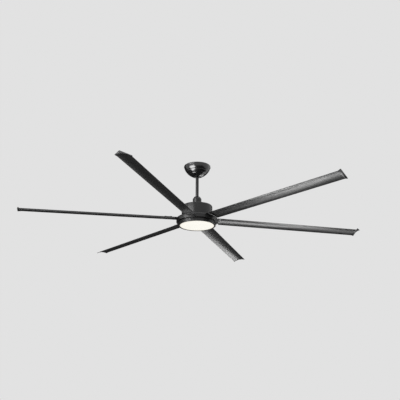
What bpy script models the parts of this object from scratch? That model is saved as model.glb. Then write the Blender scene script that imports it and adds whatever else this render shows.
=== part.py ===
"""Black ceiling fan with six long metal blades, upright end fins and a round light, hung from a ball joint.

Lengths are in metres, +Z is up, and the origin is on the ceiling plane at the middle of the
hanging bracket. Heights named RISE are counted up from the face of the light, heights named
DEPTH are counted down from the ceiling.
"""

import math

import bmesh
import bpy
from mathutils import Matrix, Vector

# Overall size
SWEEP_RADIUS = 1.0668
DROP = 0.3946
BLADE_COUNT = 6
FIRST_BLADE_DEG = 11.68
BLADE_STEP_DEG = 360 / BLADE_COUNT

# Smoothness of round pieces
LARGE_ROUND_STEPS = 32
MIDDLE_ROUND_STEPS = 20
SMALL_ROUND_STEPS = 10
BOLT_STEPS = 6
CORNER_STEPS = 3
SHARP_ANGLE_DEG = 32
MERGE_DISTANCE = 0.00001

# Clearances
SEAM_GAP = 0.0003
FIT_GAP = 0.0004
RUNNING_GAP = 0.001
CUT_MARGIN = 0.004
WELD_OVERLAP = 0.001

# Hanging bracket
BRACKET_THICKNESS = 0.0025
BRACKET_HALF_LENGTH = 0.052
BRACKET_HALF_WIDTH = 0.025
EAR_GAP = 0.0024
EAR_HALF_WIDTH = 0.009
EAR_HEIGHT = 0.016
BRACKET_LEG_REACH = 0.0335
BRACKET_LEG_HALF_WIDTH = 0.012
CEILING_SCREW_REACH = 0.040
CEILING_SLOT_HALF_LENGTH = 0.008
CEILING_SLOT_HALF_WIDTH = 0.0026
WIRE_HOLE_RADIUS = 0.007
WIRE_HOLE_OFFSET = 0.0145

# Hanger ball and its seat
BALL_DEPTH = 0.044
BALL_RADIUS = 0.027
BALL_ARC_STEPS = 10
SEAT_GAP = 0.0006
SEAT_TOP_DROP = 0.014
SEAT_THICKNESS = 0.004
SEAT_RADIUS = 0.0335
SEAT_SLOT_HALF_WIDTH = 0.0115
BALL_PIN_RADIUS = 0.003
BALL_PIN_HALF_LENGTH = 0.024

# Canopy
CANOPY_RIM_DEPTH = 0.0006
CANOPY_RIM_RADIUS = 0.0837
CANOPY_BEAD_DEPTH = 0.0045
CANOPY_RADIUS = 0.0829
CANOPY_SEAT_GAP = 0.00664
CANOPY_ROUNDNESS = 1.71
CANOPY_HOLE_RADIUS = 0.0205
CANOPY_WALL = 0.002
CANOPY_GROOVE_DEPTHS = (0.0365, 0.055)
CANOPY_GROOVE_CUT = 0.0012
CANOPY_GROOVE_HALF_HEIGHT = 0.0026
CANOPY_CURVE_STEPS = 9
CANOPY_SCREW_DEPTH = 0.0095
CANOPY_SCREW_RADIUS = 0.002
CANOPY_SCREW_HEAD_RADIUS = 0.0038
CANOPY_SCREW_HEAD_HEIGHT = 0.0013
CANOPY_SCREW_LENGTH = 0.0105

# Receiver of the remote control
RECEIVER_LENGTH = 0.054
RECEIVER_WIDTH = 0.029
RECEIVER_OFFSET = 0.0095
RECEIVER_HEIGHT = 0.0115
RECEIVER_ROUNDING = 0.0015

# Downrod and coupling
ROD_RADIUS = 0.0097
ROD_WALL = 0.002
ROD_TOP_DEPTH = 0.020
ROD_SEAT_LENGTH = 0.025
YOKE_RADIUS = 0.015
YOKE_GAP = 0.0028
YOKE_HEIGHT = 0.0425
YOKE_FLANGE_RADIUS = 0.0248
YOKE_FLANGE_THICKNESS = 0.003
CLEVIS_PIN_INSET = 0.014
CLEVIS_PIN_RADIUS = 0.003
CLEVIS_PIN_REACH = 0.0215
CLEVIS_HEAD_RADIUS = 0.0045
CLEVIS_HEAD_THICKNESS = 0.002
COTTER_RADIUS = 0.0008
COTTER_REACH = 0.0185
COTTER_LEG = 0.009
COTTER_BEND_RADIUS = 0.0026
COTTER_BEND_STEPS = 4
SET_SCREW_INSET = 0.006
SET_SCREW_RADIUS = 0.0025
SET_SCREW_REACH = 0.0165
COUPLING_COVER_RADIUS = 0.027
COUPLING_COVER_HEIGHT = 0.0603
COUPLING_COVER_CONE_HEIGHT = 0.014
COUPLING_COVER_TOP_RADIUS = 0.018
COUPLING_COVER_WALL = 0.0015
COUPLING_COVER_ROUNDING = 0.002

# Motor housing (the drum)
DRUM_RADIUS = 0.095
DRUM_TOP_RISE = 0.1267
DRUM_WALL = 0.0025
DRUM_ROUNDING = 0.005
DRUM_INNER_CHAMFER = 0.0022
DRUM_SHAFT_HOLE_RADIUS = 0.013

# Blade ring, the casting that carries the blades
RING_RADIUS = 0.127
RING_TOP_RISE = 0.0485
RING_BOTTOM_RISE = 0.0216
RING_WALL = 0.003
RING_ROUNDING = 0.007
RING_INNER_CHAMFER = 0.0035
RING_LINE_RISE = 0.0405
RING_LINE_CUT = 0.0008
RING_LINE_HALF_HEIGHT = 0.0005
RING_SHAFT_HOLE_RADIUS = 0.014
RING_COVER_THICKNESS = 0.002
RING_COVER_HOLE_RADIUS = 0.030

# Bearings and shaft
SHAFT_RADIUS = 0.0085
SHAFT_WALL = 0.003
SHAFT_SEAT_LENGTH = 0.015
SHAFT_BOTTOM_RISE = 0.0102
BEARING_RADIUS = 0.0175
BEARING_HEIGHT = 0.010
BEARING_RACE_WALL = 0.002
BEARING_BALL_RADIUS = 0.0021
BEARING_BALL_COUNT = 6
CAGE_HALF_WIDTH = 0.001
CAGE_HALF_HEIGHT = 0.0012
BEARING_BOSS_WALL = 0.004
UPPER_BEARING_INSET = 0.0132
LOWER_BEARING_RISE = 0.0345

# Motor windings and magnets
STATOR_RADIUS = 0.079
STATOR_HUB_RADIUS = 0.034
STATOR_BOTTOM_RISE = 0.078
STATOR_HEIGHT = 0.020
TOOTH_COUNT = 9
TOOTH_HALF_WIDTH = 0.005
TOOTH_SHOE_DEPTH = 0.006
TOOTH_SLOT_HALF_WIDTH = 0.002
WINDING_OVERHANG = 0.007
MAGNET_THICKNESS = 0.012
MAGNET_HEIGHT = 0.028

# Blade arms
ARM_BLOCK_LENGTH = 0.0193
ARM_NECK_LENGTH = 0.021
ARM_FOOT_LENGTH = 0.023
ARM_HALF_WIDTH = 0.014
ARM_THICKNESS = 0.005
ARM_NECK_RISE = 0.0005
ARM_BLOCK_REAR_AT_RING = 0.015
ARM_TONGUE_LENGTH = 0.070
ARM_TONGUE_HALF_WIDTH = 0.024
ARM_TONGUE_THICKNESS = 0.0026
ARM_BOLT_SPREAD = 0.008
ARM_BOLT_RADIUS = 0.0025
ARM_BOLT_HEAD_RADIUS = 0.0045
ARM_BOLT_HEAD_HEIGHT = 0.003
ARM_BOLT_COVERED_DEPTH = 0.001
CLAMP_RING_THICKNESS = 0.0025

# Blades
BLADE_CHORD = 0.0817
BLADE_PITCH_DEG = 10.57
BLADE_RISE = 0.0373
BLADE_DROOP_PER_REACH = -0.0118
BLADE_CAMBER = 0.0078
BLADE_EDGE_THICKNESS = 0.0014
BLADE_THICKNESS = 0.0052
BLADE_THICKNESS_POWER = 0.6
BLADE_CHORD_STEPS = 10
NARROW_STRIP_STEPS = 4

# Plate and screws on top of each blade root
BLADE_PLATE_START = 0.010
BLADE_PLATE_LENGTH = 0.048
BLADE_PLATE_HALF_WIDTH = 0.016
BLADE_PLATE_THICKNESS = 0.0012
BLADE_SCREW_RADIUS = 0.002
BLADE_SCREW_HEAD_RADIUS = 0.004
BLADE_SCREW_HEAD_HEIGHT = 0.0016
BLADE_SCREW_INSET = 0.008
BLADE_SCREW_SPREAD = 0.010

# End fins
FIN_LENGTH = 0.019
FIN_SWEEP_BACK = 0.005
FIN_REAR_SIDE = 0.0449
FIN_REAR_RISE = 0.0022
FIN_PEAK_SIDE = 0.0226
FIN_PEAK_RISE = 0.0214
FIN_FRONT_SIDE = 0.0410
FIN_FRONT_RISE = -0.0022
FIN_FRONT_TOP_RISE = 0.0006
FIN_THICKNESS = 0.004
FIN_FILLET_REACH = 0.006
FIN_FILLET_SHARE = 0.16
FIN_REAR_LENGTH = 0.0045
FIN_LIP = 0.0006
FIN_TONGUE_LENGTH = 0.012
FIN_REAR_STATION_SHARES = (0.93, 0.72, 0.40)
FIN_MIDDLE_STATION_SHARES = (0.0, 0.5, 0.94)
FIN_FRONT_STATION_SHARES = (0.08, 0.45, 0.78)

# Light
LIGHT_RADIUS = 0.1155
LIGHT_HOUSING_TOP_RISE = 0.0204
LIGHT_HOUSING_BOTTOM_RISE = 0.0102
LIGHT_HOUSING_WALL = 0.0035
LIGHT_HOUSING_TOP_THICKNESS = 0.0015
LIGHT_HOUSING_ROUNDING = 0.001
BEZEL_BOTTOM_RISE = 0.0006
BEZEL_LIP_THICKNESS = 0.003
BEZEL_CHAMFER = 0.0015
BEZEL_SKIRT_HEIGHT = 0.004
BEZEL_SKIRT_WALL = 0.002
DIFFUSER_FACE_RISE = 0.0002
DIFFUSER_EDGE_RISE = 0.0007
DIFFUSER_EDGE_WIDTH = 0.007
DIFFUSER_SHOULDER_RISE = 0.0014
DIFFUSER_WALL = 0.002
DIFFUSER_FLANGE_WIDTH = 0.0042
DIFFUSER_FLANGE_THICKNESS = 0.0015
LED_BOARD_MARGIN = 0.0086
LED_BOARD_RISE = 0.0082
LED_BOARD_THICKNESS = 0.0015
LED_CHIP_SIZE = 0.0035
LED_CHIP_HEIGHT = 0.0007
LED_COUNTS = (4, 8, 12)
LED_CIRCLE_SHARES = (0.30, 0.57, 0.85)
DRIVER_LENGTH = 0.052
DRIVER_WIDTH = 0.034
DRIVER_HEIGHT = 0.0042
DRIVER_OFFSET = 0.050
DRIVER_ROUNDING = 0.001
LIGHT_PLATE_RADIUS = 0.026
LIGHT_PLATE_THICKNESS = 0.0035
SHAFT_NUT_RADIUS = 0.014
SHAFT_NUT_SIDES = 6

# Levels and reaches that follow from the sizes above
YOKE_BOTTOM_RISE = DRUM_TOP_RISE + YOKE_GAP
YOKE_TOP_RISE = YOKE_BOTTOM_RISE + YOKE_HEIGHT
ROD_BOTTOM_RISE = YOKE_TOP_RISE - ROD_SEAT_LENGTH
CLEVIS_PIN_RISE = YOKE_TOP_RISE - CLEVIS_PIN_INSET
SET_SCREW_RISE = YOKE_TOP_RISE - SET_SCREW_INSET
COUPLING_COVER_TOP_RISE = DRUM_TOP_RISE + RUNNING_GAP + COUPLING_COVER_HEIGHT
COUPLING_COVER_SHOULDER_RISE = COUPLING_COVER_TOP_RISE - COUPLING_COVER_CONE_HEIGHT
SHAFT_TOP_RISE = YOKE_BOTTOM_RISE + SHAFT_SEAT_LENGTH
UPPER_BEARING_RISE = DRUM_TOP_RISE - UPPER_BEARING_INSET
ARM_FOOT_OUTER = RING_RADIUS - ARM_NECK_LENGTH
ARM_FOOT_INNER = ARM_FOOT_OUTER - ARM_FOOT_LENGTH
ARM_BOLT_REACH = (ARM_FOOT_INNER + ARM_FOOT_OUTER) / 2
BLADE_ROOT_REACH = RING_RADIUS + ARM_BLOCK_LENGTH
FIN_REACH = math.sqrt(SWEEP_RADIUS**2 - FIN_FRONT_SIDE**2)
BLADE_END_REACH = FIN_REACH - FIN_LENGTH
BEZEL_SKIRT_RADIUS = LIGHT_RADIUS - LIGHT_HOUSING_WALL - FIT_GAP
BEZEL_INNER_RADIUS = BEZEL_SKIRT_RADIUS - BEZEL_SKIRT_WALL
DIFFUSER_FLANGE_RADIUS = BEZEL_INNER_RADIUS - FIT_GAP
DIFFUSER_RADIUS = DIFFUSER_FLANGE_RADIUS - DIFFUSER_FLANGE_WIDTH
DIFFUSER_FLAT_RADIUS = DIFFUSER_RADIUS - DIFFUSER_EDGE_WIDTH
LED_BOARD_RADIUS = BEZEL_INNER_RADIUS - LED_BOARD_MARGIN
FACE_Z = -DROP
BALL_Z = -BALL_DEPTH
SEAT_TOP_Z = BALL_Z - SEAT_TOP_DROP
SEAT_BOTTOM_Z = SEAT_TOP_Z - SEAT_THICKNESS
DECK_UNDERSIDE_RISE = RING_TOP_RISE - RING_WALL
ARM_FOOT_TOP_RISE = DECK_UNDERSIDE_RISE - SEAM_GAP
ARM_FOOT_BOTTOM_RISE = ARM_FOOT_TOP_RISE - ARM_THICKNESS
CLAMP_RING_TOP_RISE = ARM_FOOT_BOTTOM_RISE - SEAM_GAP
CLAMP_RING_BOTTOM_RISE = CLAMP_RING_TOP_RISE - CLAMP_RING_THICKNESS
HALF_CHORD = BLADE_CHORD / 2
PITCH = math.radians(BLADE_PITCH_DEG)


def level(rise):
    """Height of something that sits this far above the face of the light."""
    return FACE_Z + rise


def clear_scene():
    for obj in list(bpy.data.objects):
        bpy.data.objects.remove(obj, do_unlink=True)


# Materials


def plain_material(name, colour, metallic, roughness):
    made = bpy.data.materials.new(name)
    made.use_nodes = True
    shader = made.node_tree.nodes["Principled BSDF"]
    shader.inputs["Base Color"].default_value = (*colour, 1)
    shader.inputs["Metallic"].default_value = metallic
    shader.inputs["Roughness"].default_value = roughness
    return made


def black_steel():
    return plain_material("black_steel", (0.012, 0.012, 0.013), 0, 0.3)


def black_aluminium():
    return plain_material("black_aluminium", (0.014, 0.014, 0.015), 0, 0.36)


def black_plastic():
    return plain_material("black_plastic", (0.015, 0.015, 0.016), 0, 0.4)


def zinc_steel():
    return plain_material("zinc_steel", (0.55, 0.55, 0.53), 1, 0.35)


def magnet_grey():
    return plain_material("magnet_grey", (0.08, 0.08, 0.085), 0, 0.6)


def copper():
    return plain_material("copper", (0.72, 0.33, 0.16), 1, 0.35)


def white_board():
    return plain_material("white_board", (0.85, 0.85, 0.82), 0, 0.4)


def opal_plastic():
    made = plain_material("opal_plastic", (0.95, 0.93, 0.88), 0, 0.35)
    shader = made.node_tree.nodes["Principled BSDF"]
    shader.inputs["Emission Color"].default_value = (1, 0.96, 0.88, 1)
    shader.inputs["Emission Strength"].default_value = 1
    return made


# Shapes


def add_object(name, mesh):
    obj = bpy.data.objects.new(name, mesh)
    bpy.context.scene.collection.objects.link(obj)
    return obj


def settle(obj):
    """Keep the shape that the modifiers give, without the modifiers."""
    graph = bpy.context.evaluated_depsgraph_get()
    mesh = bpy.data.meshes.new_from_object(obj.evaluated_get(graph))
    obj.modifiers.clear()
    obj.data = mesh
    return obj


def combine(obj, other, operation):
    change = obj.modifiers.new(operation.lower(), "BOOLEAN")
    change.operation = operation
    change.solver = "EXACT"
    change.object = other
    settle(obj)
    bpy.data.objects.remove(other, do_unlink=True)
    return obj


def cut(obj, cutter):
    return combine(obj, cutter, "DIFFERENCE")


def join(obj, other):
    return combine(obj, other, "UNION")


def rounded(corners, steps=CORNER_STEPS):
    """Corners of (radius, height, rounding) as plain points, each rounding drawn as an arc."""
    points = []
    for i, (radius, height, rounding) in enumerate(corners):
        here = Vector((radius, height))
        if not rounding:
            points.append(tuple(here))
            continue
        to_last = (Vector(corners[i - 1][:2]) - here).normalized()
        to_next = (Vector(corners[(i + 1) % len(corners)][:2]) - here).normalized()
        half_angle = to_last.angle(to_next) / 2
        along = rounding / math.tan(half_angle)
        middle = here + (to_last + to_next).normalized() * rounding / math.sin(half_angle)
        start = here + to_last * along - middle
        end = here + to_next * along - middle
        for step in range(steps + 1):
            points.append(tuple(middle + start.slerp(end, step / steps).normalized() * rounding))
    return points


def runs_down_outside(outline):
    """The outline in the order that goes down its outer side, which faces a turned wall outward."""
    area = sum(
        a[0] * b[1] - b[0] * a[1] for a, b in zip(outline, outline[1:] + outline[:1])
    )
    return outline[::-1] if area > 0 else outline


def turned(name, outline, steps=LARGE_ROUND_STEPS):
    """A piece turned about Z from an outline of (radius, height) points."""
    outline = runs_down_outside([tuple(point) for point in outline])
    on_axis = [i for i, point in enumerate(outline) if point[0] == 0]
    edges = [(i, (i + 1) % len(outline)) for i in range(len(outline))]
    edges = [edge for edge in edges if not set(edge) <= set(on_axis)]
    mesh = bpy.data.meshes.new(name)
    mesh.from_pydata([(radius, 0, height) for radius, height in outline], edges, [])
    obj = add_object(name, mesh)
    screw = obj.modifiers.new("turn", "SCREW")
    screw.steps = steps
    screw.render_steps = steps
    screw.use_merge_vertices = True
    screw.merge_threshold = MERGE_DISTANCE
    return settle(obj)


def tube_outline(inner, outer, bottom, top):
    return [(outer, top), (outer, bottom), (inner, bottom), (inner, top)]


def block(name, low, high, rounding=0):
    """A box between two corners, with its edges rounded where a rounding is given."""
    low = Vector(low)
    high = Vector(high)
    mesh = bpy.data.meshes.new(name)
    shape = bmesh.new()
    bmesh.ops.create_cube(shape, size=1)
    place = Matrix.Translation((low + high) / 2) @ Matrix.Diagonal((*(high - low), 1))
    bmesh.ops.transform(shape, matrix=place, verts=shape.verts)
    if rounding:
        bmesh.ops.bevel(
            shape,
            geom=shape.edges[:],
            offset=rounding,
            segments=CORNER_STEPS,
            profile=0.5,
            affect="EDGES",
        )
    shape.to_mesh(mesh)
    shape.free()
    return add_object(name, mesh)


def bar(name, radius, start, end, steps=SMALL_ROUND_STEPS):
    """A round bar between two points."""
    start = Vector(start)
    run = Vector(end) - start
    mesh = bpy.data.meshes.new(name)
    shape = bmesh.new()
    turn = Vector((0, 0, 1)).rotation_difference(run).to_matrix().to_4x4()
    bmesh.ops.create_cone(
        shape,
        cap_ends=True,
        segments=steps,
        radius1=radius,
        radius2=radius,
        depth=run.length,
        matrix=Matrix.Translation(start + run / 2) @ turn,
    )
    shape.to_mesh(mesh)
    shape.free()
    return add_object(name, mesh)


def loft(name, sections):
    """A closed skin through sections of matching points, with a flat cap at both ends."""
    mesh = bpy.data.meshes.new(name)
    shape = bmesh.new()
    rows = [[shape.verts.new(point) for point in section] for section in sections]
    for row, following in zip(rows, rows[1:]):
        for i in range(len(row)):
            j = (i + 1) % len(row)
            shape.faces.new((row[i], row[j], following[j], following[i]))
    shape.faces.new(rows[0][::-1])
    shape.faces.new(rows[-1])
    bmesh.ops.recalc_face_normals(shape, faces=shape.faces)
    shape.to_mesh(mesh)
    shape.free()
    return add_object(name, mesh)


def copies(name, obj, turns):
    """One object that holds a copy of the given one at each turn about Z."""
    mesh = bpy.data.meshes.new(name)
    shape = bmesh.new()
    for turn in turns:
        shape.from_mesh(obj.data)
        added = shape.verts[-len(obj.data.vertices):]
        bmesh.ops.rotate(shape, verts=added, cent=(0, 0, 0), matrix=Matrix.Rotation(turn, 3, "Z"))
    shape.to_mesh(mesh)
    shape.free()
    bpy.data.objects.remove(obj, do_unlink=True)
    return add_object(name, mesh)


def even_turns(count, first=0):
    return [first + 2 * math.pi * i / count for i in range(count)]


def blade_turns():
    return even_turns(BLADE_COUNT, math.radians(FIRST_BLADE_DEG))


# Shape of a blade, whose own frame has the blade along X, its leading side at positive side
# values and its own height square to the pitched chord


def blade_point(reach, side, height):
    across = side * math.cos(PITCH) - height * math.sin(PITCH)
    up = side * math.sin(PITCH) + height * math.cos(PITCH)
    return Vector((reach, -across, level(BLADE_RISE) + BLADE_DROOP_PER_REACH * reach + up))


def edge_share(side):
    return max(0, 1 - (side / HALF_CHORD) ** 2)


def blade_underside(side):
    return BLADE_CAMBER * edge_share(side)


def blade_depth(side):
    swell = (BLADE_THICKNESS - BLADE_EDGE_THICKNESS) * edge_share(side) ** BLADE_THICKNESS_POWER
    return BLADE_EDGE_THICKNESS + swell


def blade_top(side):
    return blade_underside(side) + blade_depth(side)


def strip_section(reach, half_width, lower, upper, steps):
    """Outline across a blade at one reach, between a lower and an upper height along the chord."""
    sides = [half_width * (2 * i / steps - 1) for i in range(steps + 1)]
    below = [blade_point(reach, side, lower(side)) for side in sides]
    above = [blade_point(reach, side, upper(side)) for side in reversed(sides)]
    return below + above


def strip(name, reaches, half_width, lower, upper, steps=NARROW_STRIP_STEPS):
    sections = [strip_section(reach, half_width, lower, upper, steps) for reach in reaches]
    return loft(name, sections)


def tongue_lower(side):
    return blade_underside(side) + (blade_depth(side) - ARM_TONGUE_THICKNESS) / 2


def tongue_upper(side):
    return tongue_lower(side) + ARM_TONGUE_THICKNESS


def pocket_lower(side):
    return tongue_lower(side) - SEAM_GAP


def pocket_upper(side):
    return tongue_upper(side) + SEAM_GAP


def blade_screw_places():
    """Reach and side of the three screws that hold a blade to its arm."""
    start = BLADE_ROOT_REACH + BLADE_PLATE_START
    near = start + BLADE_SCREW_INSET
    far = start + BLADE_PLATE_LENGTH - BLADE_SCREW_INSET
    return [(near, -BLADE_SCREW_SPREAD), (near, BLADE_SCREW_SPREAD), (far, 0)]


def screw_end(reach, side):
    """Where a blade screw stops, in the pocket under the arm's tongue."""
    return blade_point(reach, side, tongue_lower(side))


def blade_screw_hole(reach, side, radius):
    end = screw_end(reach, side)
    above = blade_point(reach, side, blade_top(side) + CUT_MARGIN)
    return bar("hole", radius, end, above, BOLT_STEPS)


# Pieces fixed to the ceiling


def ear_reach():
    """How far out the ears are, such that their lower corners clear the canopy."""
    corner = canopy_curve_radius(EAR_HEIGHT) - CANOPY_WALL - EAR_GAP
    return math.sqrt(corner**2 - EAR_HALF_WIDTH**2)


def bracket_strap():
    """The bent strap whose ends are the ears for the canopy screws."""
    reach = ear_reach()
    inner = reach - BRACKET_THICKNESS
    under = -BRACKET_THICKNESS
    outline = [
        (-reach, -EAR_HEIGHT),
        (-reach, 0),
        (reach, 0),
        (reach, -EAR_HEIGHT),
        (inner, -EAR_HEIGHT),
        (inner, under),
        (-inner, under),
        (-inner, -EAR_HEIGHT),
    ]
    return loft("strap", [[(x, y, z) for x, z in outline] for y in (-EAR_HALF_WIDTH, EAR_HALF_WIDTH)])


def ceiling_bracket():
    obj = block(
        "ceiling_bracket",
        (-BRACKET_HALF_LENGTH, -BRACKET_HALF_WIDTH, -BRACKET_THICKNESS),
        (BRACKET_HALF_LENGTH, BRACKET_HALF_WIDTH, 0),
    )
    join(obj, bracket_strap())
    for side in (-1, 1):
        leg = sorted((side * (BRACKET_LEG_REACH - BRACKET_THICKNESS), side * BRACKET_LEG_REACH))
        join(
            obj,
            block(
                "leg",
                (leg[0], -BRACKET_LEG_HALF_WIDTH, SEAT_BOTTOM_Z),
                (leg[1], BRACKET_LEG_HALF_WIDTH, 0),
            ),
        )
    join(obj, turned("seat", seat_outline(), MIDDLE_ROUND_STEPS))
    cut_bracket_openings(obj)
    return obj


def seat_radius(z):
    """Inner radius of the ball seat at a height, a little outside the ball."""
    return math.sqrt((BALL_RADIUS + SEAT_GAP) ** 2 - (z - BALL_Z) ** 2)


def seat_outline():
    return [
        (SEAT_RADIUS, SEAT_TOP_Z),
        (SEAT_RADIUS, SEAT_BOTTOM_Z),
        (seat_radius(SEAT_BOTTOM_Z), SEAT_BOTTOM_Z),
        (seat_radius(SEAT_TOP_Z), SEAT_TOP_Z),
    ]


def cut_bracket_openings(obj):
    """The slot that the downrod enters by, the wire hole, and the holes for the screws."""
    cut(
        obj,
        block(
            "slot",
            (-SEAT_SLOT_HALF_WIDTH, 0, SEAT_BOTTOM_Z - CUT_MARGIN),
            (SEAT_SLOT_HALF_WIDTH, SEAT_RADIUS + CUT_MARGIN, SEAT_TOP_Z + CUT_MARGIN),
        ),
    )
    under = -BRACKET_THICKNESS - CUT_MARGIN
    cut(obj, bar("hole", WIRE_HOLE_RADIUS, (0, WIRE_HOLE_OFFSET, under), (0, WIRE_HOLE_OFFSET, CUT_MARGIN)))
    hole = CANOPY_SCREW_RADIUS + FIT_GAP
    for side in (-1, 1):
        centre = side * CEILING_SCREW_REACH
        cut(
            obj,
            block(
                "slot",
                (centre - CEILING_SLOT_HALF_LENGTH, -CEILING_SLOT_HALF_WIDTH, under),
                (centre + CEILING_SLOT_HALF_LENGTH, CEILING_SLOT_HALF_WIDTH, CUT_MARGIN),
            ),
        )
        inside = side * (ear_reach() - CUT_MARGIN - BRACKET_THICKNESS)
        outside = side * (ear_reach() + CUT_MARGIN)
        cut(obj, bar("hole", hole, (inside, 0, -CANOPY_SCREW_DEPTH), (outside, 0, -CANOPY_SCREW_DEPTH)))


def canopy_curve_run():
    """How deep the dome would run to its tip, such that it passes outside the ball seat."""
    beside_seat = SEAT_RADIUS + CANOPY_SEAT_GAP + CANOPY_WALL
    angle = math.acos((beside_seat / CANOPY_RADIUS) ** (CANOPY_ROUNDNESS / 2))
    return (-SEAT_BOTTOM_Z - CANOPY_BEAD_DEPTH) / math.sin(angle) ** (2 / CANOPY_ROUNDNESS)


def canopy_curve_radius(depth):
    """Outer radius of the canopy's domed part at a depth below the ceiling."""
    share = (depth - CANOPY_BEAD_DEPTH) / canopy_curve_run()
    angle = math.asin(min(1, max(0, share)) ** (CANOPY_ROUNDNESS / 2))
    return CANOPY_RADIUS * math.cos(angle) ** (2 / CANOPY_ROUNDNESS)


def canopy_hole_depth():
    """Depth at which the dome has narrowed to its hole."""
    angle = math.acos((CANOPY_HOLE_RADIUS / CANOPY_RADIUS) ** (CANOPY_ROUNDNESS / 2))
    return CANOPY_BEAD_DEPTH + canopy_curve_run() * math.sin(angle) ** (2 / CANOPY_ROUNDNESS)


def canopy_depths():
    """Depths of the points down the dome, closer together towards its hole."""
    run = canopy_hole_depth() - CANOPY_BEAD_DEPTH
    turns = [math.pi / 2 * i / CANOPY_CURVE_STEPS for i in range(CANOPY_CURVE_STEPS + 1)]
    depths = [CANOPY_BEAD_DEPTH + run * math.sin(turn) for turn in turns]
    reach = CANOPY_GROOVE_HALF_HEIGHT * 1.2
    return [d for d in depths if all(abs(d - groove) > reach for groove in CANOPY_GROOVE_DEPTHS)]


def canopy_outer_points():
    points = [(d, canopy_curve_radius(d)) for d in canopy_depths()]
    for groove in CANOPY_GROOVE_DEPTHS:
        radius = canopy_curve_radius(groove)
        for offset in (-CANOPY_GROOVE_HALF_HEIGHT, CANOPY_GROOVE_HALF_HEIGHT):
            points.append((groove + offset, canopy_curve_radius(groove + offset)))
        points.append((groove, radius - CANOPY_GROOVE_CUT))
    return [(radius, -depth) for depth, radius in sorted(points)]


def canopy_inner_points():
    """The inner side, moved in by the wall thickness square to the dome."""
    depths = canopy_depths()
    outer = [(canopy_curve_radius(d), -d) for d in depths[::2] + depths[-1:]]
    inner = []
    for i, point in enumerate(outer):
        before = Vector(outer[max(0, i - 1)])
        after = Vector(outer[min(len(outer) - 1, i + 1)])
        along = (after - before).normalized()
        inward = Vector((along.y, -along.x))
        inner.append(tuple(Vector(point) + inward * CANOPY_WALL))
    return inner


def canopy_outline():
    rim = [
        (CANOPY_RIM_RADIUS - CANOPY_WALL, -CANOPY_RIM_DEPTH),
        (CANOPY_RIM_RADIUS, -CANOPY_RIM_DEPTH),
        (CANOPY_RIM_RADIUS, -CANOPY_BEAD_DEPTH + WELD_OVERLAP),
    ]
    return rim + canopy_outer_points() + canopy_inner_points()[::-1]


def canopy():
    obj = turned("canopy", canopy_outline())
    hole = CANOPY_SCREW_RADIUS + FIT_GAP
    for side in (-1, 1):
        inside = side * (CANOPY_RADIUS - CANOPY_WALL - CUT_MARGIN)
        outside = side * (CANOPY_RADIUS + CUT_MARGIN)
        cut(obj, bar("hole", hole, (inside, 0, -CANOPY_SCREW_DEPTH), (outside, 0, -CANOPY_SCREW_DEPTH)))
    return obj


def canopy_screw(name, side):
    """A screw through the canopy's side into an ear of the bracket."""
    seat = canopy_curve_radius(CANOPY_SCREW_DEPTH - CANOPY_SCREW_HEAD_RADIUS) + SEAM_GAP
    under_head = side * seat
    head_top = side * (seat + CANOPY_SCREW_HEAD_HEIGHT)
    tip = side * (seat - CANOPY_SCREW_LENGTH)
    z = -CANOPY_SCREW_DEPTH
    obj = bar(name, CANOPY_SCREW_HEAD_RADIUS, (under_head, 0, z), (head_top, 0, z))
    return join(obj, bar("shank", CANOPY_SCREW_RADIUS, (tip, 0, z), (side * (seat + SEAM_GAP), 0, z)))


def receiver():
    top = -BRACKET_THICKNESS - FIT_GAP
    return block(
        "receiver",
        (-RECEIVER_LENGTH / 2, -RECEIVER_OFFSET - RECEIVER_WIDTH / 2, top - RECEIVER_HEIGHT),
        (RECEIVER_LENGTH / 2, -RECEIVER_OFFSET + RECEIVER_WIDTH / 2, top),
        RECEIVER_ROUNDING,
    )


# Pieces that hang from the ball and don't spin


def hanger_ball():
    bore = ROD_RADIUS + FIT_GAP
    top_angle = math.asin(bore / BALL_RADIUS)
    arc = []
    for step in range(BALL_ARC_STEPS + 1):
        angle = top_angle + (math.pi - 2 * top_angle) * step / BALL_ARC_STEPS
        arc.append((BALL_RADIUS * math.sin(angle), BALL_Z + BALL_RADIUS * math.cos(angle)))
    obj = turned("hanger_ball", arc, MIDDLE_ROUND_STEPS)
    return cut(obj, bar("hole", BALL_PIN_RADIUS + FIT_GAP, *along_x(BALL_RADIUS + CUT_MARGIN, BALL_Z)))


def along_x(half_length, z):
    return (-half_length, 0, z), (half_length, 0, z)


def ball_pin():
    return bar("ball_pin", BALL_PIN_RADIUS, *along_x(BALL_PIN_HALF_LENGTH, BALL_Z))


def downrod():
    outline = tube_outline(ROD_RADIUS - ROD_WALL, ROD_RADIUS, level(ROD_BOTTOM_RISE), -ROD_TOP_DEPTH)
    obj = turned("downrod", outline, MIDDLE_ROUND_STEPS)
    reach = ROD_RADIUS + CUT_MARGIN
    cut(obj, bar("hole", BALL_PIN_RADIUS + FIT_GAP, *along_x(reach, BALL_Z)))
    return cut(obj, bar("hole", CLEVIS_PIN_RADIUS + FIT_GAP, *along_x(reach, level(CLEVIS_PIN_RISE))))


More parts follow.
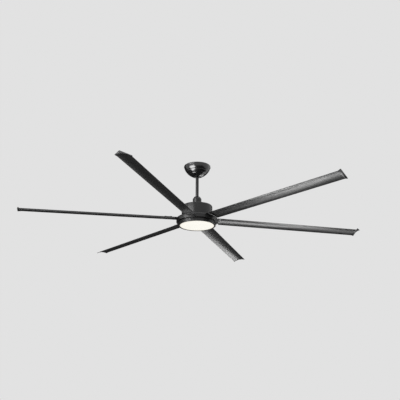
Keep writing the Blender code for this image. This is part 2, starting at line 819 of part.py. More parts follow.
def coupling_yoke():
    rod_seat = level(ROD_BOTTOM_RISE) - SEAM_GAP
    flange_top = level(YOKE_BOTTOM_RISE + YOKE_FLANGE_THICKNESS)
    obj = turned(
        "coupling_yoke",
        [
            (YOKE_RADIUS, level(YOKE_TOP_RISE)),
            (YOKE_RADIUS, flange_top),
            (YOKE_FLANGE_RADIUS, flange_top),
            (YOKE_FLANGE_RADIUS, level(YOKE_BOTTOM_RISE)),
            (SHAFT_RADIUS + FIT_GAP, level(YOKE_BOTTOM_RISE)),
            (SHAFT_RADIUS + FIT_GAP, rod_seat),
            (ROD_RADIUS + FIT_GAP, rod_seat),
            (ROD_RADIUS + FIT_GAP, level(YOKE_TOP_RISE)),
        ],
        MIDDLE_ROUND_STEPS,
    )
    cut(obj, bar("hole", CLEVIS_PIN_RADIUS + FIT_GAP, *along_x(YOKE_RADIUS + CUT_MARGIN, level(CLEVIS_PIN_RISE))))
    z = level(SET_SCREW_RISE)
    reach = YOKE_RADIUS + CUT_MARGIN
    return cut(obj, bar("hole", SET_SCREW_RADIUS + FIT_GAP, (0, -reach, z), (0, reach, z)))


def clevis_pin():
    z = level(CLEVIS_PIN_RISE)
    head = YOKE_RADIUS + FIT_GAP
    obj = bar("clevis_pin", CLEVIS_PIN_RADIUS, (-head - SEAM_GAP, 0, z), (CLEVIS_PIN_REACH, 0, z))
    join(obj, bar("head", CLEVIS_HEAD_RADIUS, (-head - CLEVIS_HEAD_THICKNESS, 0, z), (-head, 0, z)))
    reach = CLEVIS_PIN_RADIUS + CUT_MARGIN
    hole = COTTER_RADIUS + FIT_GAP
    return cut(obj, bar("hole", hole, (COTTER_REACH, 0, z - reach), (COTTER_REACH, 0, z + reach)))


def cotter_points():
    """Wire of the clip: a straight leg through the pin, a bend, and a leg back outside the pin."""
    z = level(CLEVIS_PIN_RISE)
    points = [(COTTER_REACH, 0, z + COTTER_LEG)]
    for step in range(COTTER_BEND_STEPS + 1):
        angle = math.pi * step / COTTER_BEND_STEPS
        out = COTTER_BEND_RADIUS * (1 - math.cos(angle))
        down = COTTER_BEND_RADIUS * math.sin(angle)
        points.append((COTTER_REACH + out, 0, z - COTTER_LEG / 2 - down))
    points.append((COTTER_REACH + 2 * COTTER_BEND_RADIUS, 0, z + COTTER_LEG / 2))
    return points


def cotter_clip():
    wire = bpy.data.curves.new("cotter_clip", "CURVE")
    wire.dimensions = "3D"
    wire.bevel_depth = COTTER_RADIUS
    wire.bevel_resolution = 1
    wire.use_fill_caps = True
    points = cotter_points()
    spline = wire.splines.new("POLY")
    spline.points.add(len(points) - 1)
    for place, point in zip(spline.points, points):
        place.co = (*point, 1)
    return add_object("cotter_clip", wire)


def set_screw(name, side):
    z = level(SET_SCREW_RISE)
    near = side * (ROD_RADIUS + FIT_GAP)
    return bar(name, SET_SCREW_RADIUS, (0, near, z), (0, side * SET_SCREW_REACH, z))


def coupling_cover():
    bottom = level(DRUM_TOP_RISE) + RUNNING_GAP
    shoulder = level(COUPLING_COVER_SHOULDER_RISE)
    top = level(COUPLING_COVER_TOP_RISE)
    inner = COUPLING_COVER_RADIUS - COUPLING_COVER_WALL
    hole = ROD_RADIUS + FIT_GAP
    outline = rounded(
        [
            (COUPLING_COVER_TOP_RADIUS, top, COUPLING_COVER_ROUNDING),
            (COUPLING_COVER_RADIUS, shoulder, COUPLING_COVER_ROUNDING),
            (COUPLING_COVER_RADIUS, bottom, 0),
            (inner, bottom, 0),
            (inner, shoulder - COUPLING_COVER_WALL, 0),
            (COUPLING_COVER_TOP_RADIUS - COUPLING_COVER_WALL, top - COUPLING_COVER_WALL, 0),
            (hole, top - COUPLING_COVER_WALL, 0),
            (hole, top, 0),
        ]
    )
    return turned("coupling_cover", outline, MIDDLE_ROUND_STEPS)


def motor_shaft():
    outline = tube_outline(
        SHAFT_RADIUS - SHAFT_WALL, SHAFT_RADIUS, level(SHAFT_BOTTOM_RISE), level(SHAFT_TOP_RISE)
    )
    return turned("motor_shaft", outline, MIDDLE_ROUND_STEPS)


def stator_core():
    """A hub ring with teeth that widen into a split outer ring."""
    bottom = level(STATOR_BOTTOM_RISE)
    top = bottom + STATOR_HEIGHT
    hub = tube_outline(SHAFT_RADIUS + FIT_GAP, STATOR_HUB_RADIUS, bottom, top)
    obj = turned("stator_core", hub, MIDDLE_ROUND_STEPS)
    rim_outline = tube_outline(STATOR_RADIUS - TOOTH_SHOE_DEPTH, STATOR_RADIUS, bottom, top)
    rim = turned("rim", rim_outline)
    slot = block(
        "slot",
        (STATOR_RADIUS - TOOTH_SHOE_DEPTH - CUT_MARGIN, -TOOTH_SLOT_HALF_WIDTH, bottom - CUT_MARGIN),
        (STATOR_RADIUS + CUT_MARGIN, TOOTH_SLOT_HALF_WIDTH, top + CUT_MARGIN),
    )
    cut(rim, copies("slots", slot, even_turns(TOOTH_COUNT, math.pi / TOOTH_COUNT)))
    tooth = block(
        "tooth",
        (STATOR_HUB_RADIUS - WELD_OVERLAP, -TOOTH_HALF_WIDTH, bottom),
        (STATOR_RADIUS - TOOTH_SHOE_DEPTH + WELD_OVERLAP, TOOTH_HALF_WIDTH, top),
    )
    join(rim, copies("teeth", tooth, even_turns(TOOTH_COUNT)))
    return join(obj, rim)


def stator_winding():
    """The coils as one ring, with a window for each tooth."""
    bottom = level(STATOR_BOTTOM_RISE)
    top = bottom + STATOR_HEIGHT
    inner = STATOR_HUB_RADIUS + FIT_GAP
    outer = STATOR_RADIUS - TOOTH_SHOE_DEPTH - FIT_GAP
    outline = tube_outline(inner, outer, bottom - WINDING_OVERHANG, top + WINDING_OVERHANG)
    obj = turned("stator_winding", outline)
    window = block(
        "window",
        (inner - CUT_MARGIN, -TOOTH_HALF_WIDTH - FIT_GAP, bottom - FIT_GAP),
        (outer + CUT_MARGIN, TOOTH_HALF_WIDTH + FIT_GAP, top + FIT_GAP),
    )
    return cut(obj, copies("windows", window, even_turns(TOOTH_COUNT)))


def light_plate():
    """The disc on the shaft that carries the light."""
    bottom = level(LIGHT_HOUSING_TOP_RISE) + SEAM_GAP
    outline = tube_outline(
        SHAFT_RADIUS + FIT_GAP, LIGHT_PLATE_RADIUS, bottom, bottom + LIGHT_PLATE_THICKNESS
    )
    return turned("light_plate", outline, MIDDLE_ROUND_STEPS)


def shaft_nut():
    top = level(LIGHT_HOUSING_TOP_RISE - LIGHT_HOUSING_TOP_THICKNESS) - SEAM_GAP
    bottom = level(SHAFT_BOTTOM_RISE)
    obj = bar("shaft_nut", SHAFT_NUT_RADIUS, (0, 0, bottom), (0, 0, top), SHAFT_NUT_SIDES)
    hole = (0, 0, bottom - CUT_MARGIN), (0, 0, top + CUT_MARGIN)
    return cut(obj, bar("hole", SHAFT_RADIUS + FIT_GAP, *hole, MIDDLE_ROUND_STEPS))


def led_driver():
    top = level(LIGHT_HOUSING_TOP_RISE - LIGHT_HOUSING_TOP_THICKNESS) - SEAM_GAP
    return block(
        "led_driver",
        (DRIVER_OFFSET - DRIVER_LENGTH / 2, -DRIVER_WIDTH / 2, top - DRIVER_HEIGHT),
        (DRIVER_OFFSET + DRIVER_LENGTH / 2, DRIVER_WIDTH / 2, top),
        DRIVER_ROUNDING,
    )


def light_housing():
    top = level(LIGHT_HOUSING_TOP_RISE)
    bottom = level(LIGHT_HOUSING_BOTTOM_RISE)
    inner = LIGHT_RADIUS - LIGHT_HOUSING_WALL
    ceiling = top - LIGHT_HOUSING_TOP_THICKNESS
    hole = SHAFT_RADIUS + FIT_GAP
    outline = rounded(
        [
            (hole, top, 0),
            (LIGHT_RADIUS, top, LIGHT_HOUSING_ROUNDING),
            (LIGHT_RADIUS, bottom, 0),
            (inner, bottom, 0),
            (inner, ceiling, 0),
            (hole, ceiling, 0),
        ]
    )
    return turned("light_housing", outline)


def light_bezel():
    top = level(LIGHT_HOUSING_BOTTOM_RISE) - SEAM_GAP
    bottom = level(BEZEL_BOTTOM_RISE)
    lip_top = bottom + BEZEL_LIP_THICKNESS
    opening = DIFFUSER_RADIUS + FIT_GAP
    return turned(
        "light_bezel",
        [
            (BEZEL_SKIRT_RADIUS, top + BEZEL_SKIRT_HEIGHT),
            (BEZEL_SKIRT_RADIUS, top),
            (LIGHT_RADIUS, top),
            (LIGHT_RADIUS, bottom + BEZEL_CHAMFER),
            (LIGHT_RADIUS - BEZEL_CHAMFER, bottom),
            (opening, bottom),
            (opening, lip_top),
            (BEZEL_INNER_RADIUS, lip_top),
            (BEZEL_INNER_RADIUS, top + BEZEL_SKIRT_HEIGHT),
        ],
    )


def light_diffuser():
    """The opal disc, nearly flush with the bezel, with a flange that the bezel's lip carries."""
    flange_bottom = level(BEZEL_BOTTOM_RISE) + BEZEL_LIP_THICKNESS + SEAM_GAP
    flange_top = flange_bottom + DIFFUSER_FLANGE_THICKNESS
    inner = DIFFUSER_RADIUS - DIFFUSER_WALL
    return turned(
        "light_diffuser",
        [
            (0, level(DIFFUSER_FACE_RISE) + DIFFUSER_WALL),
            (DIFFUSER_FLAT_RADIUS, level(DIFFUSER_EDGE_RISE) + DIFFUSER_WALL),
            (inner, level(DIFFUSER_SHOULDER_RISE) + DIFFUSER_WALL),
            (inner, flange_top),
            (DIFFUSER_FLANGE_RADIUS, flange_top),
            (DIFFUSER_FLANGE_RADIUS, flange_bottom),
            (DIFFUSER_RADIUS, flange_bottom),
            (DIFFUSER_RADIUS, level(DIFFUSER_SHOULDER_RISE)),
            (DIFFUSER_FLAT_RADIUS, level(DIFFUSER_EDGE_RISE)),
            (0, level(DIFFUSER_FACE_RISE)),
        ],
    )


def led_board():
    bottom = level(LED_BOARD_RISE)
    top = bottom + LED_BOARD_THICKNESS
    obj = turned("led_board", [(0, top), (LED_BOARD_RADIUS, top), (LED_BOARD_RADIUS, bottom), (0, bottom)])
    for share, count in zip(LED_CIRCLE_SHARES, LED_COUNTS):
        radius = LED_BOARD_RADIUS * share
        chip = block(
            "chip",
            (radius - LED_CHIP_SIZE / 2, -LED_CHIP_SIZE / 2, bottom - LED_CHIP_HEIGHT),
            (radius + LED_CHIP_SIZE / 2, LED_CHIP_SIZE / 2, bottom + LED_BOARD_THICKNESS / 2),
        )
        join(obj, copies("chips", chip, even_turns(count)))
    return obj


# Bearings


def inner_race(name, rise):
    inner = SHAFT_RADIUS + SEAM_GAP
    bottom = level(rise)
    outline = tube_outline(inner, inner + BEARING_RACE_WALL, bottom, bottom + BEARING_HEIGHT)
    return turned(name, outline, MIDDLE_ROUND_STEPS)


def outer_race(name, rise):
    bottom = level(rise)
    outline = tube_outline(
        BEARING_RADIUS - BEARING_RACE_WALL, BEARING_RADIUS, bottom, bottom + BEARING_HEIGHT
    )
    return turned(name, outline, MIDDLE_ROUND_STEPS)


def ball_cage(name, rise):
    """The balls of a bearing, held in their ring."""
    inner_reach = SHAFT_RADIUS + SEAM_GAP + BEARING_RACE_WALL
    pitch = (inner_reach + BEARING_RADIUS - BEARING_RACE_WALL) / 2
    middle = level(rise) + BEARING_HEIGHT / 2
    outline = tube_outline(
        pitch - CAGE_HALF_WIDTH,
        pitch + CAGE_HALF_WIDTH,
        middle - CAGE_HALF_HEIGHT,
        middle + CAGE_HALF_HEIGHT,
    )
    obj = turned(name, outline, MIDDLE_ROUND_STEPS)
    mesh = bpy.data.meshes.new("ball")
    shape = bmesh.new()
    place = Matrix.Translation((pitch, 0, middle))
    bmesh.ops.create_icosphere(shape, subdivisions=1, radius=BEARING_BALL_RADIUS, matrix=place)
    shape.to_mesh(mesh)
    shape.free()
    return join(obj, copies("balls", add_object("ball", mesh), even_turns(BEARING_BALL_COUNT)))


# Pieces that spin


def motor_housing():
    top = level(DRUM_TOP_RISE)
    bottom = level(RING_TOP_RISE) + SEAM_GAP
    inner = DRUM_RADIUS - DRUM_WALL
    ceiling = top - DRUM_WALL
    boss_inner = BEARING_RADIUS + SEAM_GAP
    boss_outer = boss_inner + BEARING_BOSS_WALL
    boss_bottom = level(UPPER_BEARING_RISE)
    seat = boss_bottom + BEARING_HEIGHT + SEAM_GAP
    outline = rounded(
        [
            (DRUM_SHAFT_HOLE_RADIUS, top, 0),
            (DRUM_RADIUS, top, DRUM_ROUNDING),
            (DRUM_RADIUS, bottom, 0),
            (inner, bottom, 0),
            (inner, ceiling - DRUM_INNER_CHAMFER, 0),
            (inner - DRUM_INNER_CHAMFER, ceiling, 0),
            (boss_outer, ceiling, 0),
            (boss_outer, boss_bottom, 0),
            (boss_inner, boss_bottom, 0),
            (boss_inner, seat, 0),
            (DRUM_SHAFT_HOLE_RADIUS, seat, 0),
        ]
    )
    return turned("motor_housing", outline)


def ring_outline():
    top = level(RING_TOP_RISE)
    bottom = level(RING_BOTTOM_RISE)
    deck = level(DECK_UNDERSIDE_RISE)
    line = level(RING_LINE_RISE)
    wall = RING_RADIUS - RING_WALL
    boss_inner = BEARING_RADIUS + SEAM_GAP
    boss_outer = boss_inner + BEARING_BOSS_WALL
    seat = level(LOWER_BEARING_RISE) + BEARING_HEIGHT + SEAM_GAP
    boss_bottom = level(LOWER_BEARING_RISE)
    return rounded(
        [
            (RING_SHAFT_HOLE_RADIUS, top, 0),
            (RING_RADIUS, top, RING_ROUNDING),
            (RING_RADIUS, line + RING_LINE_HALF_HEIGHT, 0),
            (RING_RADIUS - RING_LINE_CUT, line, 0),
            (RING_RADIUS, line - RING_LINE_HALF_HEIGHT, 0),
            (RING_RADIUS, bottom, 0),
            (wall, bottom, 0),
            (wall, deck - RING_INNER_CHAMFER, 0),
            (wall - RING_INNER_CHAMFER, deck, 0),
            (boss_outer, deck, 0),
            (boss_outer, boss_bottom, 0),
            (boss_inner, boss_bottom, 0),
            (boss_inner, seat, 0),
            (RING_SHAFT_HOLE_RADIUS, seat, 0),
        ]
    )


def neck_lower(side):
    return ARM_NECK_RISE


def neck_upper(side):
    return ARM_NECK_RISE + ARM_THICKNESS


def window_lower(side):
    return neck_lower(side) - RUNNING_GAP


def window_upper(side):
    return neck_upper(side) + RUNNING_GAP


def arm_bolt_places():
    return [(ARM_BOLT_REACH, -ARM_BOLT_SPREAD), (ARM_BOLT_REACH, ARM_BOLT_SPREAD)]


def arm_bolt_bars(name, radius, bottom, top):
    """Upright bars where the bolts of all the arms stand."""
    first, second = [
        bar(name, radius, (x, y, bottom), (x, y, top), BOLT_STEPS) for x, y in arm_bolt_places()
    ]
    return copies(name, first, blade_turns()), copies(name, second, blade_turns())


def blade_ring():
    obj = turned("blade_ring", ring_outline())
    reaches = (RING_RADIUS - RING_WALL - CUT_MARGIN, RING_RADIUS + CUT_MARGIN)
    window = strip("window", reaches, ARM_HALF_WIDTH + RUNNING_GAP, window_lower, window_upper)
    cut(obj, copies("windows", window, blade_turns()))
    low = level(DECK_UNDERSIDE_RISE) - CUT_MARGIN
    high = level(RING_TOP_RISE) - ARM_BOLT_COVERED_DEPTH
    for holes in arm_bolt_bars("holes", ARM_BOLT_RADIUS + SEAM_GAP, low, high):
        cut(obj, holes)
    return obj


def ring_cover():
    bottom = level(RING_BOTTOM_RISE)
    outer = RING_RADIUS - RING_WALL - FIT_GAP
    outline = tube_outline(RING_COVER_HOLE_RADIUS, outer, bottom, bottom + RING_COVER_THICKNESS)
    return turned("ring_cover", outline)


def magnet_ring():
    outer = DRUM_RADIUS - DRUM_WALL - SEAM_GAP
    bottom = level(STATOR_BOTTOM_RISE) - (MAGNET_HEIGHT - STATOR_HEIGHT) / 2
    return turned("magnet_ring", tube_outline(outer - MAGNET_THICKNESS, outer, bottom, bottom + MAGNET_HEIGHT))


def arm_clamp_ring():
    """The ring under the feet of the arms, with the bolts that hold them up to the deck."""
    top = level(CLAMP_RING_TOP_RISE)
    bottom = level(CLAMP_RING_BOTTOM_RISE)
    obj = turned("arm_clamp_ring", tube_outline(ARM_FOOT_INNER, ARM_FOOT_OUTER, bottom, top))
    bolt_top = level(RING_TOP_RISE) - ARM_BOLT_COVERED_DEPTH - SEAM_GAP
    for shanks in arm_bolt_bars("shanks", ARM_BOLT_RADIUS, bottom + CLAMP_RING_THICKNESS / 2, bolt_top):
        join(obj, shanks)
    head_bottom = bottom - ARM_BOLT_HEAD_HEIGHT
    head_top = bottom + CLAMP_RING_THICKNESS / 2
    for heads in arm_bolt_bars("heads", ARM_BOLT_HEAD_RADIUS, head_bottom, head_top):
        join(obj, heads)
    return obj


def flat_section(reach, bottom, top):
    """A level section of the arm's foot, with as many points as the pitched ones."""
    steps = NARROW_STRIP_STEPS
    sides = [ARM_HALF_WIDTH * (2 * i / steps - 1) for i in range(steps + 1)]
    return [Vector((reach, -side, bottom)) for side in sides] + [
        Vector((reach, -side, top)) for side in reversed(sides)
    ]


def arm_foot():
    """The level foot and the neck that twists from it to the pitch of the blade."""
    bottom = level(ARM_FOOT_BOTTOM_RISE)
    top = level(ARM_FOOT_TOP_RISE)
    neck_reaches = (RING_RADIUS - RING_WALL - RUNNING_GAP, RING_RADIUS + RING_WALL)
    sections = [flat_section(reach, bottom, top) for reach in (ARM_FOOT_INNER, ARM_FOOT_OUTER)]
    for reach in neck_reaches:
        sections.append(strip_section(reach, ARM_HALF_WIDTH, neck_lower, neck_upper, NARROW_STRIP_STEPS))
    return loft("foot", sections)


def block_lower(side):
    return 0


def arm_block():
    """The part between the ring and the blade, flat below and shaped like the blade above."""
    start = RING_RADIUS - RING_WALL * 4
    end = BLADE_ROOT_REACH - SEAM_GAP
    obj = strip("block", (start, end), HALF_CHORD, block_lower, blade_top, BLADE_CHORD_STEPS)
    low = level(0)
    high = level(DRUM_TOP_RISE)
    gap = RING_RADIUS + RUNNING_GAP
    cut(obj, bar("round", gap, (0, 0, low), (0, 0, high), LARGE_ROUND_STEPS))
    return cut(obj, arm_corner_cutter(low, high))


def arm_corner_cutter(low, high):
    """An upright wedge that takes off the trailing corner beside the ring."""
    inner = RING_RADIUS - RING_WALL * 4
    outer = BLADE_ROOT_REACH
    far = BLADE_CHORD
    corners = [
        (inner, ARM_BLOCK_REAR_AT_RING),
        (RING_RADIUS + RUNNING_GAP, ARM_BLOCK_REAR_AT_RING),
        (outer, HALF_CHORD),
        (outer, far),
        (inner, far),
    ]
    return loft("wedge", [[(x, y, z) for x, y in corners] for z in (low, high)])


def blade_arm(name):
    obj = arm_foot()
    obj.name = name
    join(obj, arm_block())
    reaches = (BLADE_ROOT_REACH - RING_WALL * 2, BLADE_ROOT_REACH + ARM_TONGUE_LENGTH)
    join(obj, strip("tongue", reaches, ARM_TONGUE_HALF_WIDTH, tongue_lower, tongue_upper))
    for x, y in arm_bolt_places():
        low = (x, y, level(CLAMP_RING_BOTTOM_RISE))
        high = (x, y, level(RING_TOP_RISE))
        cut(obj, bar("hole", ARM_BOLT_RADIUS + SEAM_GAP, low, high, BOLT_STEPS))
    for reach, side in blade_screw_places():
        low = blade_point(reach, side, -CUT_MARGIN)
        high = blade_point(reach, side, blade_top(side) + CUT_MARGIN)
        cut(obj, bar("hole", BLADE_SCREW_RADIUS + SEAM_GAP, low, high, BOLT_STEPS))
    return obj


def blade(name):
    ends = (BLADE_ROOT_REACH, BLADE_END_REACH)
    obj = strip(name, ends, HALF_CHORD, blade_underside, blade_top, BLADE_CHORD_STEPS)
    pocket = ARM_TONGUE_HALF_WIDTH + SEAM_GAP
    root = (BLADE_ROOT_REACH - CUT_MARGIN, BLADE_ROOT_REACH + ARM_TONGUE_LENGTH + SEAM_GAP)
    cut(obj, strip("pocket", root, pocket, pocket_lower, pocket_upper))
    end = (BLADE_END_REACH - FIN_TONGUE_LENGTH - SEAM_GAP, BLADE_END_REACH + CUT_MARGIN)
    cut(obj, strip("pocket", end, pocket, pocket_lower, pocket_upper))
    for reach, side in blade_screw_places():
        cut(obj, blade_screw_hole(reach, side, BLADE_SCREW_RADIUS + SEAM_GAP))
    return obj


def plate_lower(side):
    return blade_top(side) + SEAM_GAP


def plate_upper(side):
    return plate_lower(side) + BLADE_PLATE_THICKNESS


def blade_plate(name):
    """The plate on top of a blade root, with its three screws."""
    start = BLADE_ROOT_REACH + BLADE_PLATE_START
    reaches = (start, start + BLADE_PLATE_LENGTH)
    obj = strip(name, reaches, BLADE_PLATE_HALF_WIDTH, plate_lower, plate_upper)
    for reach, side in blade_screw_places():
        end = screw_end(reach, side)
        middle = blade_point(reach, side, plate_lower(side) + BLADE_PLATE_THICKNESS / 2)
        head_top = blade_point(reach, side, plate_upper(side) + BLADE_SCREW_HEAD_HEIGHT)
        screw = bar("head", BLADE_SCREW_HEAD_RADIUS, middle, head_top, BOLT_STEPS)
        join(screw, bar("shank", BLADE_SCREW_RADIUS, end, (middle + head_top) / 2, BOLT_STEPS))
        join(obj, screw)
    return obj


# End fins


def fin_outer_reach(side):
    """How far out the fin's outer face is, nearer the hub towards its trailing corner."""
    share = min(1, (side + FIN_REAR_SIDE) / (FIN_PEAK_SIDE + FIN_REAR_SIDE))
    return FIN_REACH - FIN_SWEEP_BACK * (1 - share)


def fin_inner_reach(side):
    """Where the fin starts: at the blade's end, or further out behind the blade's trailing edge."""
    start = BLADE_END_REACH + SEAM_GAP
    behind = max(0, -side - HALF_CHORD) / (FIN_REAR_SIDE - HALF_CHORD)
    return start + (fin_outer_reach(side) - FIN_REAR_LENGTH - start) * behind


def fin_top(side):
    """The straight upper edge from the trailing corner to the peak, and down to the front."""
    if side <= FIN_PEAK_SIDE:
        share = (side + FIN_REAR_SIDE) / (FIN_PEAK_SIDE + FIN_REAR_SIDE)
        return FIN_REAR_RISE + (FIN_PEAK_RISE - FIN_REAR_RISE) * share
    share = (side - FIN_PEAK_SIDE) / (FIN_FRONT_SIDE - FIN_PEAK_SIDE)
    return FIN_PEAK_RISE + (FIN_FRONT_TOP_RISE - FIN_PEAK_RISE) * share


def fin_bottom(side):
    """The lower edge of the outer face, a little below the blade's underside at the front."""
    share = max(0, side / FIN_FRONT_SIDE)
    return blade_underside(side) - FIN_LIP + (FIN_FRONT_RISE + FIN_LIP) * share


def fin_section(side):
    inner = fin_inner_reach(side)
    outer = fin_outer_reach(side)
    plate = outer - FIN_THICKNESS
    fillet = max(plate - FIN_FILLET_REACH, (inner + plate) / 2)
    top = fin_top(side)
    base = blade_top(side)
    share = FIN_FILLET_SHARE if top > base else (fillet - inner) / (plate - inner)
    return [
        blade_point(inner, side, blade_underside(side) - FIN_LIP / 2),
        blade_point(outer, side, fin_bottom(side)),
        blade_point(outer, side, top),
        blade_point(plate, side, top),
        blade_point(fillet, side, base + (top - base) * share),
        blade_point(inner, side, base),
    ]


def fin_stations():
    rear = [-FIN_REAR_SIDE] + [-FIN_REAR_SIDE * share for share in FIN_REAR_STATION_SHARES]
    middle = [FIN_PEAK_SIDE * share for share in FIN_MIDDLE_STATION_SHARES]
    run = FIN_FRONT_SIDE - FIN_PEAK_SIDE
    front = [FIN_PEAK_SIDE + run * share for share in FIN_FRONT_STATION_SHARES]
    return rear + middle + front + [FIN_FRONT_SIDE]


def blade_fin(name):
    obj = loft(name, [fin_section(side) for side in fin_stations()])
    reaches = (BLADE_END_REACH - FIN_TONGUE_LENGTH, BLADE_END_REACH + FIN_THICKNESS)
    return join(obj, strip("tongue", reaches, ARM_TONGUE_HALF_WIDTH, tongue_lower, tongue_upper))


# Assembly


def finish(obj, material):
    """Give a piece its material, and shade its round faces smooth."""
    obj.data.materials.clear()
    obj.data.materials.append(material)
    if obj.type == "MESH":
        obj.data.shade_smooth()
        obj.data.set_sharp_from_angle(angle=math.radians(SHARP_ANGLE_DEG))
    return obj


def hang_on(carrier, pieces):
    """Let pieces move with an empty on their joint's axis, without moving them now."""
    bpy.context.view_layer.update()
    for piece in pieces:
        piece.parent = carrier
        piece.matrix_parent_inverse = carrier.matrix_world.inverted()


def axis_marker(name, z):
    marker = add_object(name, None)
    marker.location = (0, 0, z)
    return marker


def around_axis(name, build, material):
    """Build a piece once and place a copy of it at each blade, all with one mesh."""
    first = finish(build(name + "_1"), material)
    pieces = [first]
    for number in range(2, BLADE_COUNT + 1):
        pieces.append(add_object(f"{name}_{number}", first.data))
    for piece, turn in zip(pieces, blade_turns()):
        piece.rotation_euler = (0, 0, turn)
    return pieces


def build_fixed(steel, zinc, plastic):
    finish(ceiling_bracket(), zinc)
    finish(canopy(), steel)
    finish(canopy_screw("canopy_screw_right", 1), steel)
    finish(canopy_screw("canopy_screw_left", -1), steel)
    finish(receiver(), plastic)


def build_hanger(steel, zinc, plastic):
    pieces = [
        finish(hanger_ball(), plastic),
        finish(ball_pin(), zinc),
        finish(downrod(), steel),
        finish(coupling_yoke(), zinc),
        finish(clevis_pin(), zinc),
        finish(cotter_clip(), zinc),
        finish(set_screw("set_screw_front", -1), zinc),
        finish(set_screw("set_screw_back", 1), zinc),
        finish(coupling_cover(), steel),
        finish(motor_shaft(), zinc),
        finish(stator_core(), zinc),
        finish(stator_winding(), copper()),
        finish(inner_race("inner_race_upper", UPPER_BEARING_RISE), zinc),
        finish(inner_race("inner_race_lower", LOWER_BEARING_RISE), zinc),
        finish(light_plate(), zinc),
        finish(shaft_nut(), zinc),
        finish(led_driver(), plastic),
        finish(light_housing(), steel),
        finish(light_bezel(), plastic),
    ]
    board = white_board()
    pieces.append(finish(led_board(), board))
    pieces.append(finish(light_diffuser(), opal_plastic()))
    return pieces


def build_rotor(steel, zinc, plastic):
    aluminium = black_aluminium()
    pieces = [
        finish(motor_housing(), steel),
        finish(blade_ring(), aluminium),
        finish(ring_cover(), steel),
        finish(magnet_ring(), magnet_grey()),
        finish(outer_race("outer_race_upper", UPPER_BEARING_RISE), zinc),
        finish(outer_race("outer_race_lower", LOWER_BEARING_RISE), zinc),
        finish(ball_cage("ball_cage_upper", UPPER_BEARING_RISE), zinc),
        finish(ball_cage("ball_cage_lower", LOWER_BEARING_RISE), zinc),
        finish(arm_clamp_ring(), zinc),
    ]
    pieces += around_axis("blade_arm", blade_arm, aluminium)
    pieces += around_axis("blade", blade, aluminium)
    pieces += around_axis("blade_plate", blade_plate, steel)
    pieces += around_axis("blade_fin", blade_fin, plastic)
    return pieces


def main():
    clear_scene()
    steel = black_steel()
    zinc = zinc_steel()
    plastic = black_plastic()
    build_fixed(steel, zinc, plastic)
    swing_axis = axis_marker("ball_swing_axis", BALL_Z)
    spin_axis = axis_marker("fan_spin_axis", level(RING_TOP_RISE))
    hang_on(swing_axis, build_hanger(steel, zinc, plastic) + [spin_axis])
    hang_on(spin_axis, build_rotor(steel, zinc, plastic))


main()
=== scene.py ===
"""Looks of a black ceiling fan with six long pitched blades, upright end fins and a round light.

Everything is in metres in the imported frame: +Z up, the origin on the ceiling plane at the middle of
the hanging bracket. Heights named RISE are counted up from the face of the light, and depths are
counted down from the ceiling.
"""

import math

import bmesh
import bpy
from mathutils import Matrix, Vector


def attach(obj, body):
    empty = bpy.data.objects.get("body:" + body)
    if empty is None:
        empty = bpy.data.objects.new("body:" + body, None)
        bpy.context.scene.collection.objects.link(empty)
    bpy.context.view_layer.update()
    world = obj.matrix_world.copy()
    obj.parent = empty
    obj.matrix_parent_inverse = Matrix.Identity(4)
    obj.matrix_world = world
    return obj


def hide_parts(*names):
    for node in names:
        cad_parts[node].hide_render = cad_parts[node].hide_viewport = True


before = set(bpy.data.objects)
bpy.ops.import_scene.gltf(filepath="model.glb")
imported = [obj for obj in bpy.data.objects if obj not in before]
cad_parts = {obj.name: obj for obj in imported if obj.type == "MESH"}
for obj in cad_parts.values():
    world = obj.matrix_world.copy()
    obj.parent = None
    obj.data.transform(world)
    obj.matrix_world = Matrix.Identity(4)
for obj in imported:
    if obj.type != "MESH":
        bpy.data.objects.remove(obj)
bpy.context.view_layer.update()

# Overall size
DROP = 0.3946
BLADE_COUNT = 6
FIRST_BLADE_DEG = 11.68

# Smoothness of round pieces
ROUND_STEPS = 192
SLIM_ROUND_STEPS = 96
SCREW_STEPS = 40
CORNER_STEPS = 6
EDGE_SEGMENTS = 2
SMOOTH_ANGLE_DEG = 28

# Clearances
SEAM_GAP = 0.0003
FIT_GAP = 0.0004
RUNNING_GAP = 0.001
CUT_MARGIN = 0.004
FINE_EDGE = 0.0004

# Canopy and its screws
CANOPY_RIM_DEPTH = 0.0006
CANOPY_RIM_RADIUS = 0.0837
CANOPY_BEAD_DEPTH = 0.0045
CANOPY_BEAD_ROUNDING = 0.0004
CANOPY_RADIUS = 0.0829
CANOPY_TIP_DEPTH = 0.0762
CANOPY_ROUNDNESS = 1.71
CANOPY_HOLE_RADIUS = 0.0205
CANOPY_WALL = 0.002
CANOPY_GROOVE_DEPTHS = (0.0365, 0.055)
CANOPY_GROOVE_CUT = 0.0012
CANOPY_GROOVE_HALF_HEIGHT = 0.0026
CANOPY_GROOVE_STEPS = 4
CANOPY_GROOVE_CLEARANCE = 1.3
CANOPY_CURVE_STEPS = 72
CANOPY_INNER_STEPS = 36
CANOPY_SCREW_DEPTH = 0.0095
CANOPY_SCREW_RADIUS = 0.002
CANOPY_SCREW_HEAD_RADIUS = 0.0038
CANOPY_SCREW_HEAD_HEIGHT = 0.0013
CANOPY_SCREW_LENGTH = 0.0105
CANOPY_SCREW_SLOT_WIDTH = 0.0009
CANOPY_SCREW_SLOT_LENGTH = 0.0044
CANOPY_SCREW_SLOT_CUT = 0.0007
PAN_HEAD_ROUNDING = 0.8

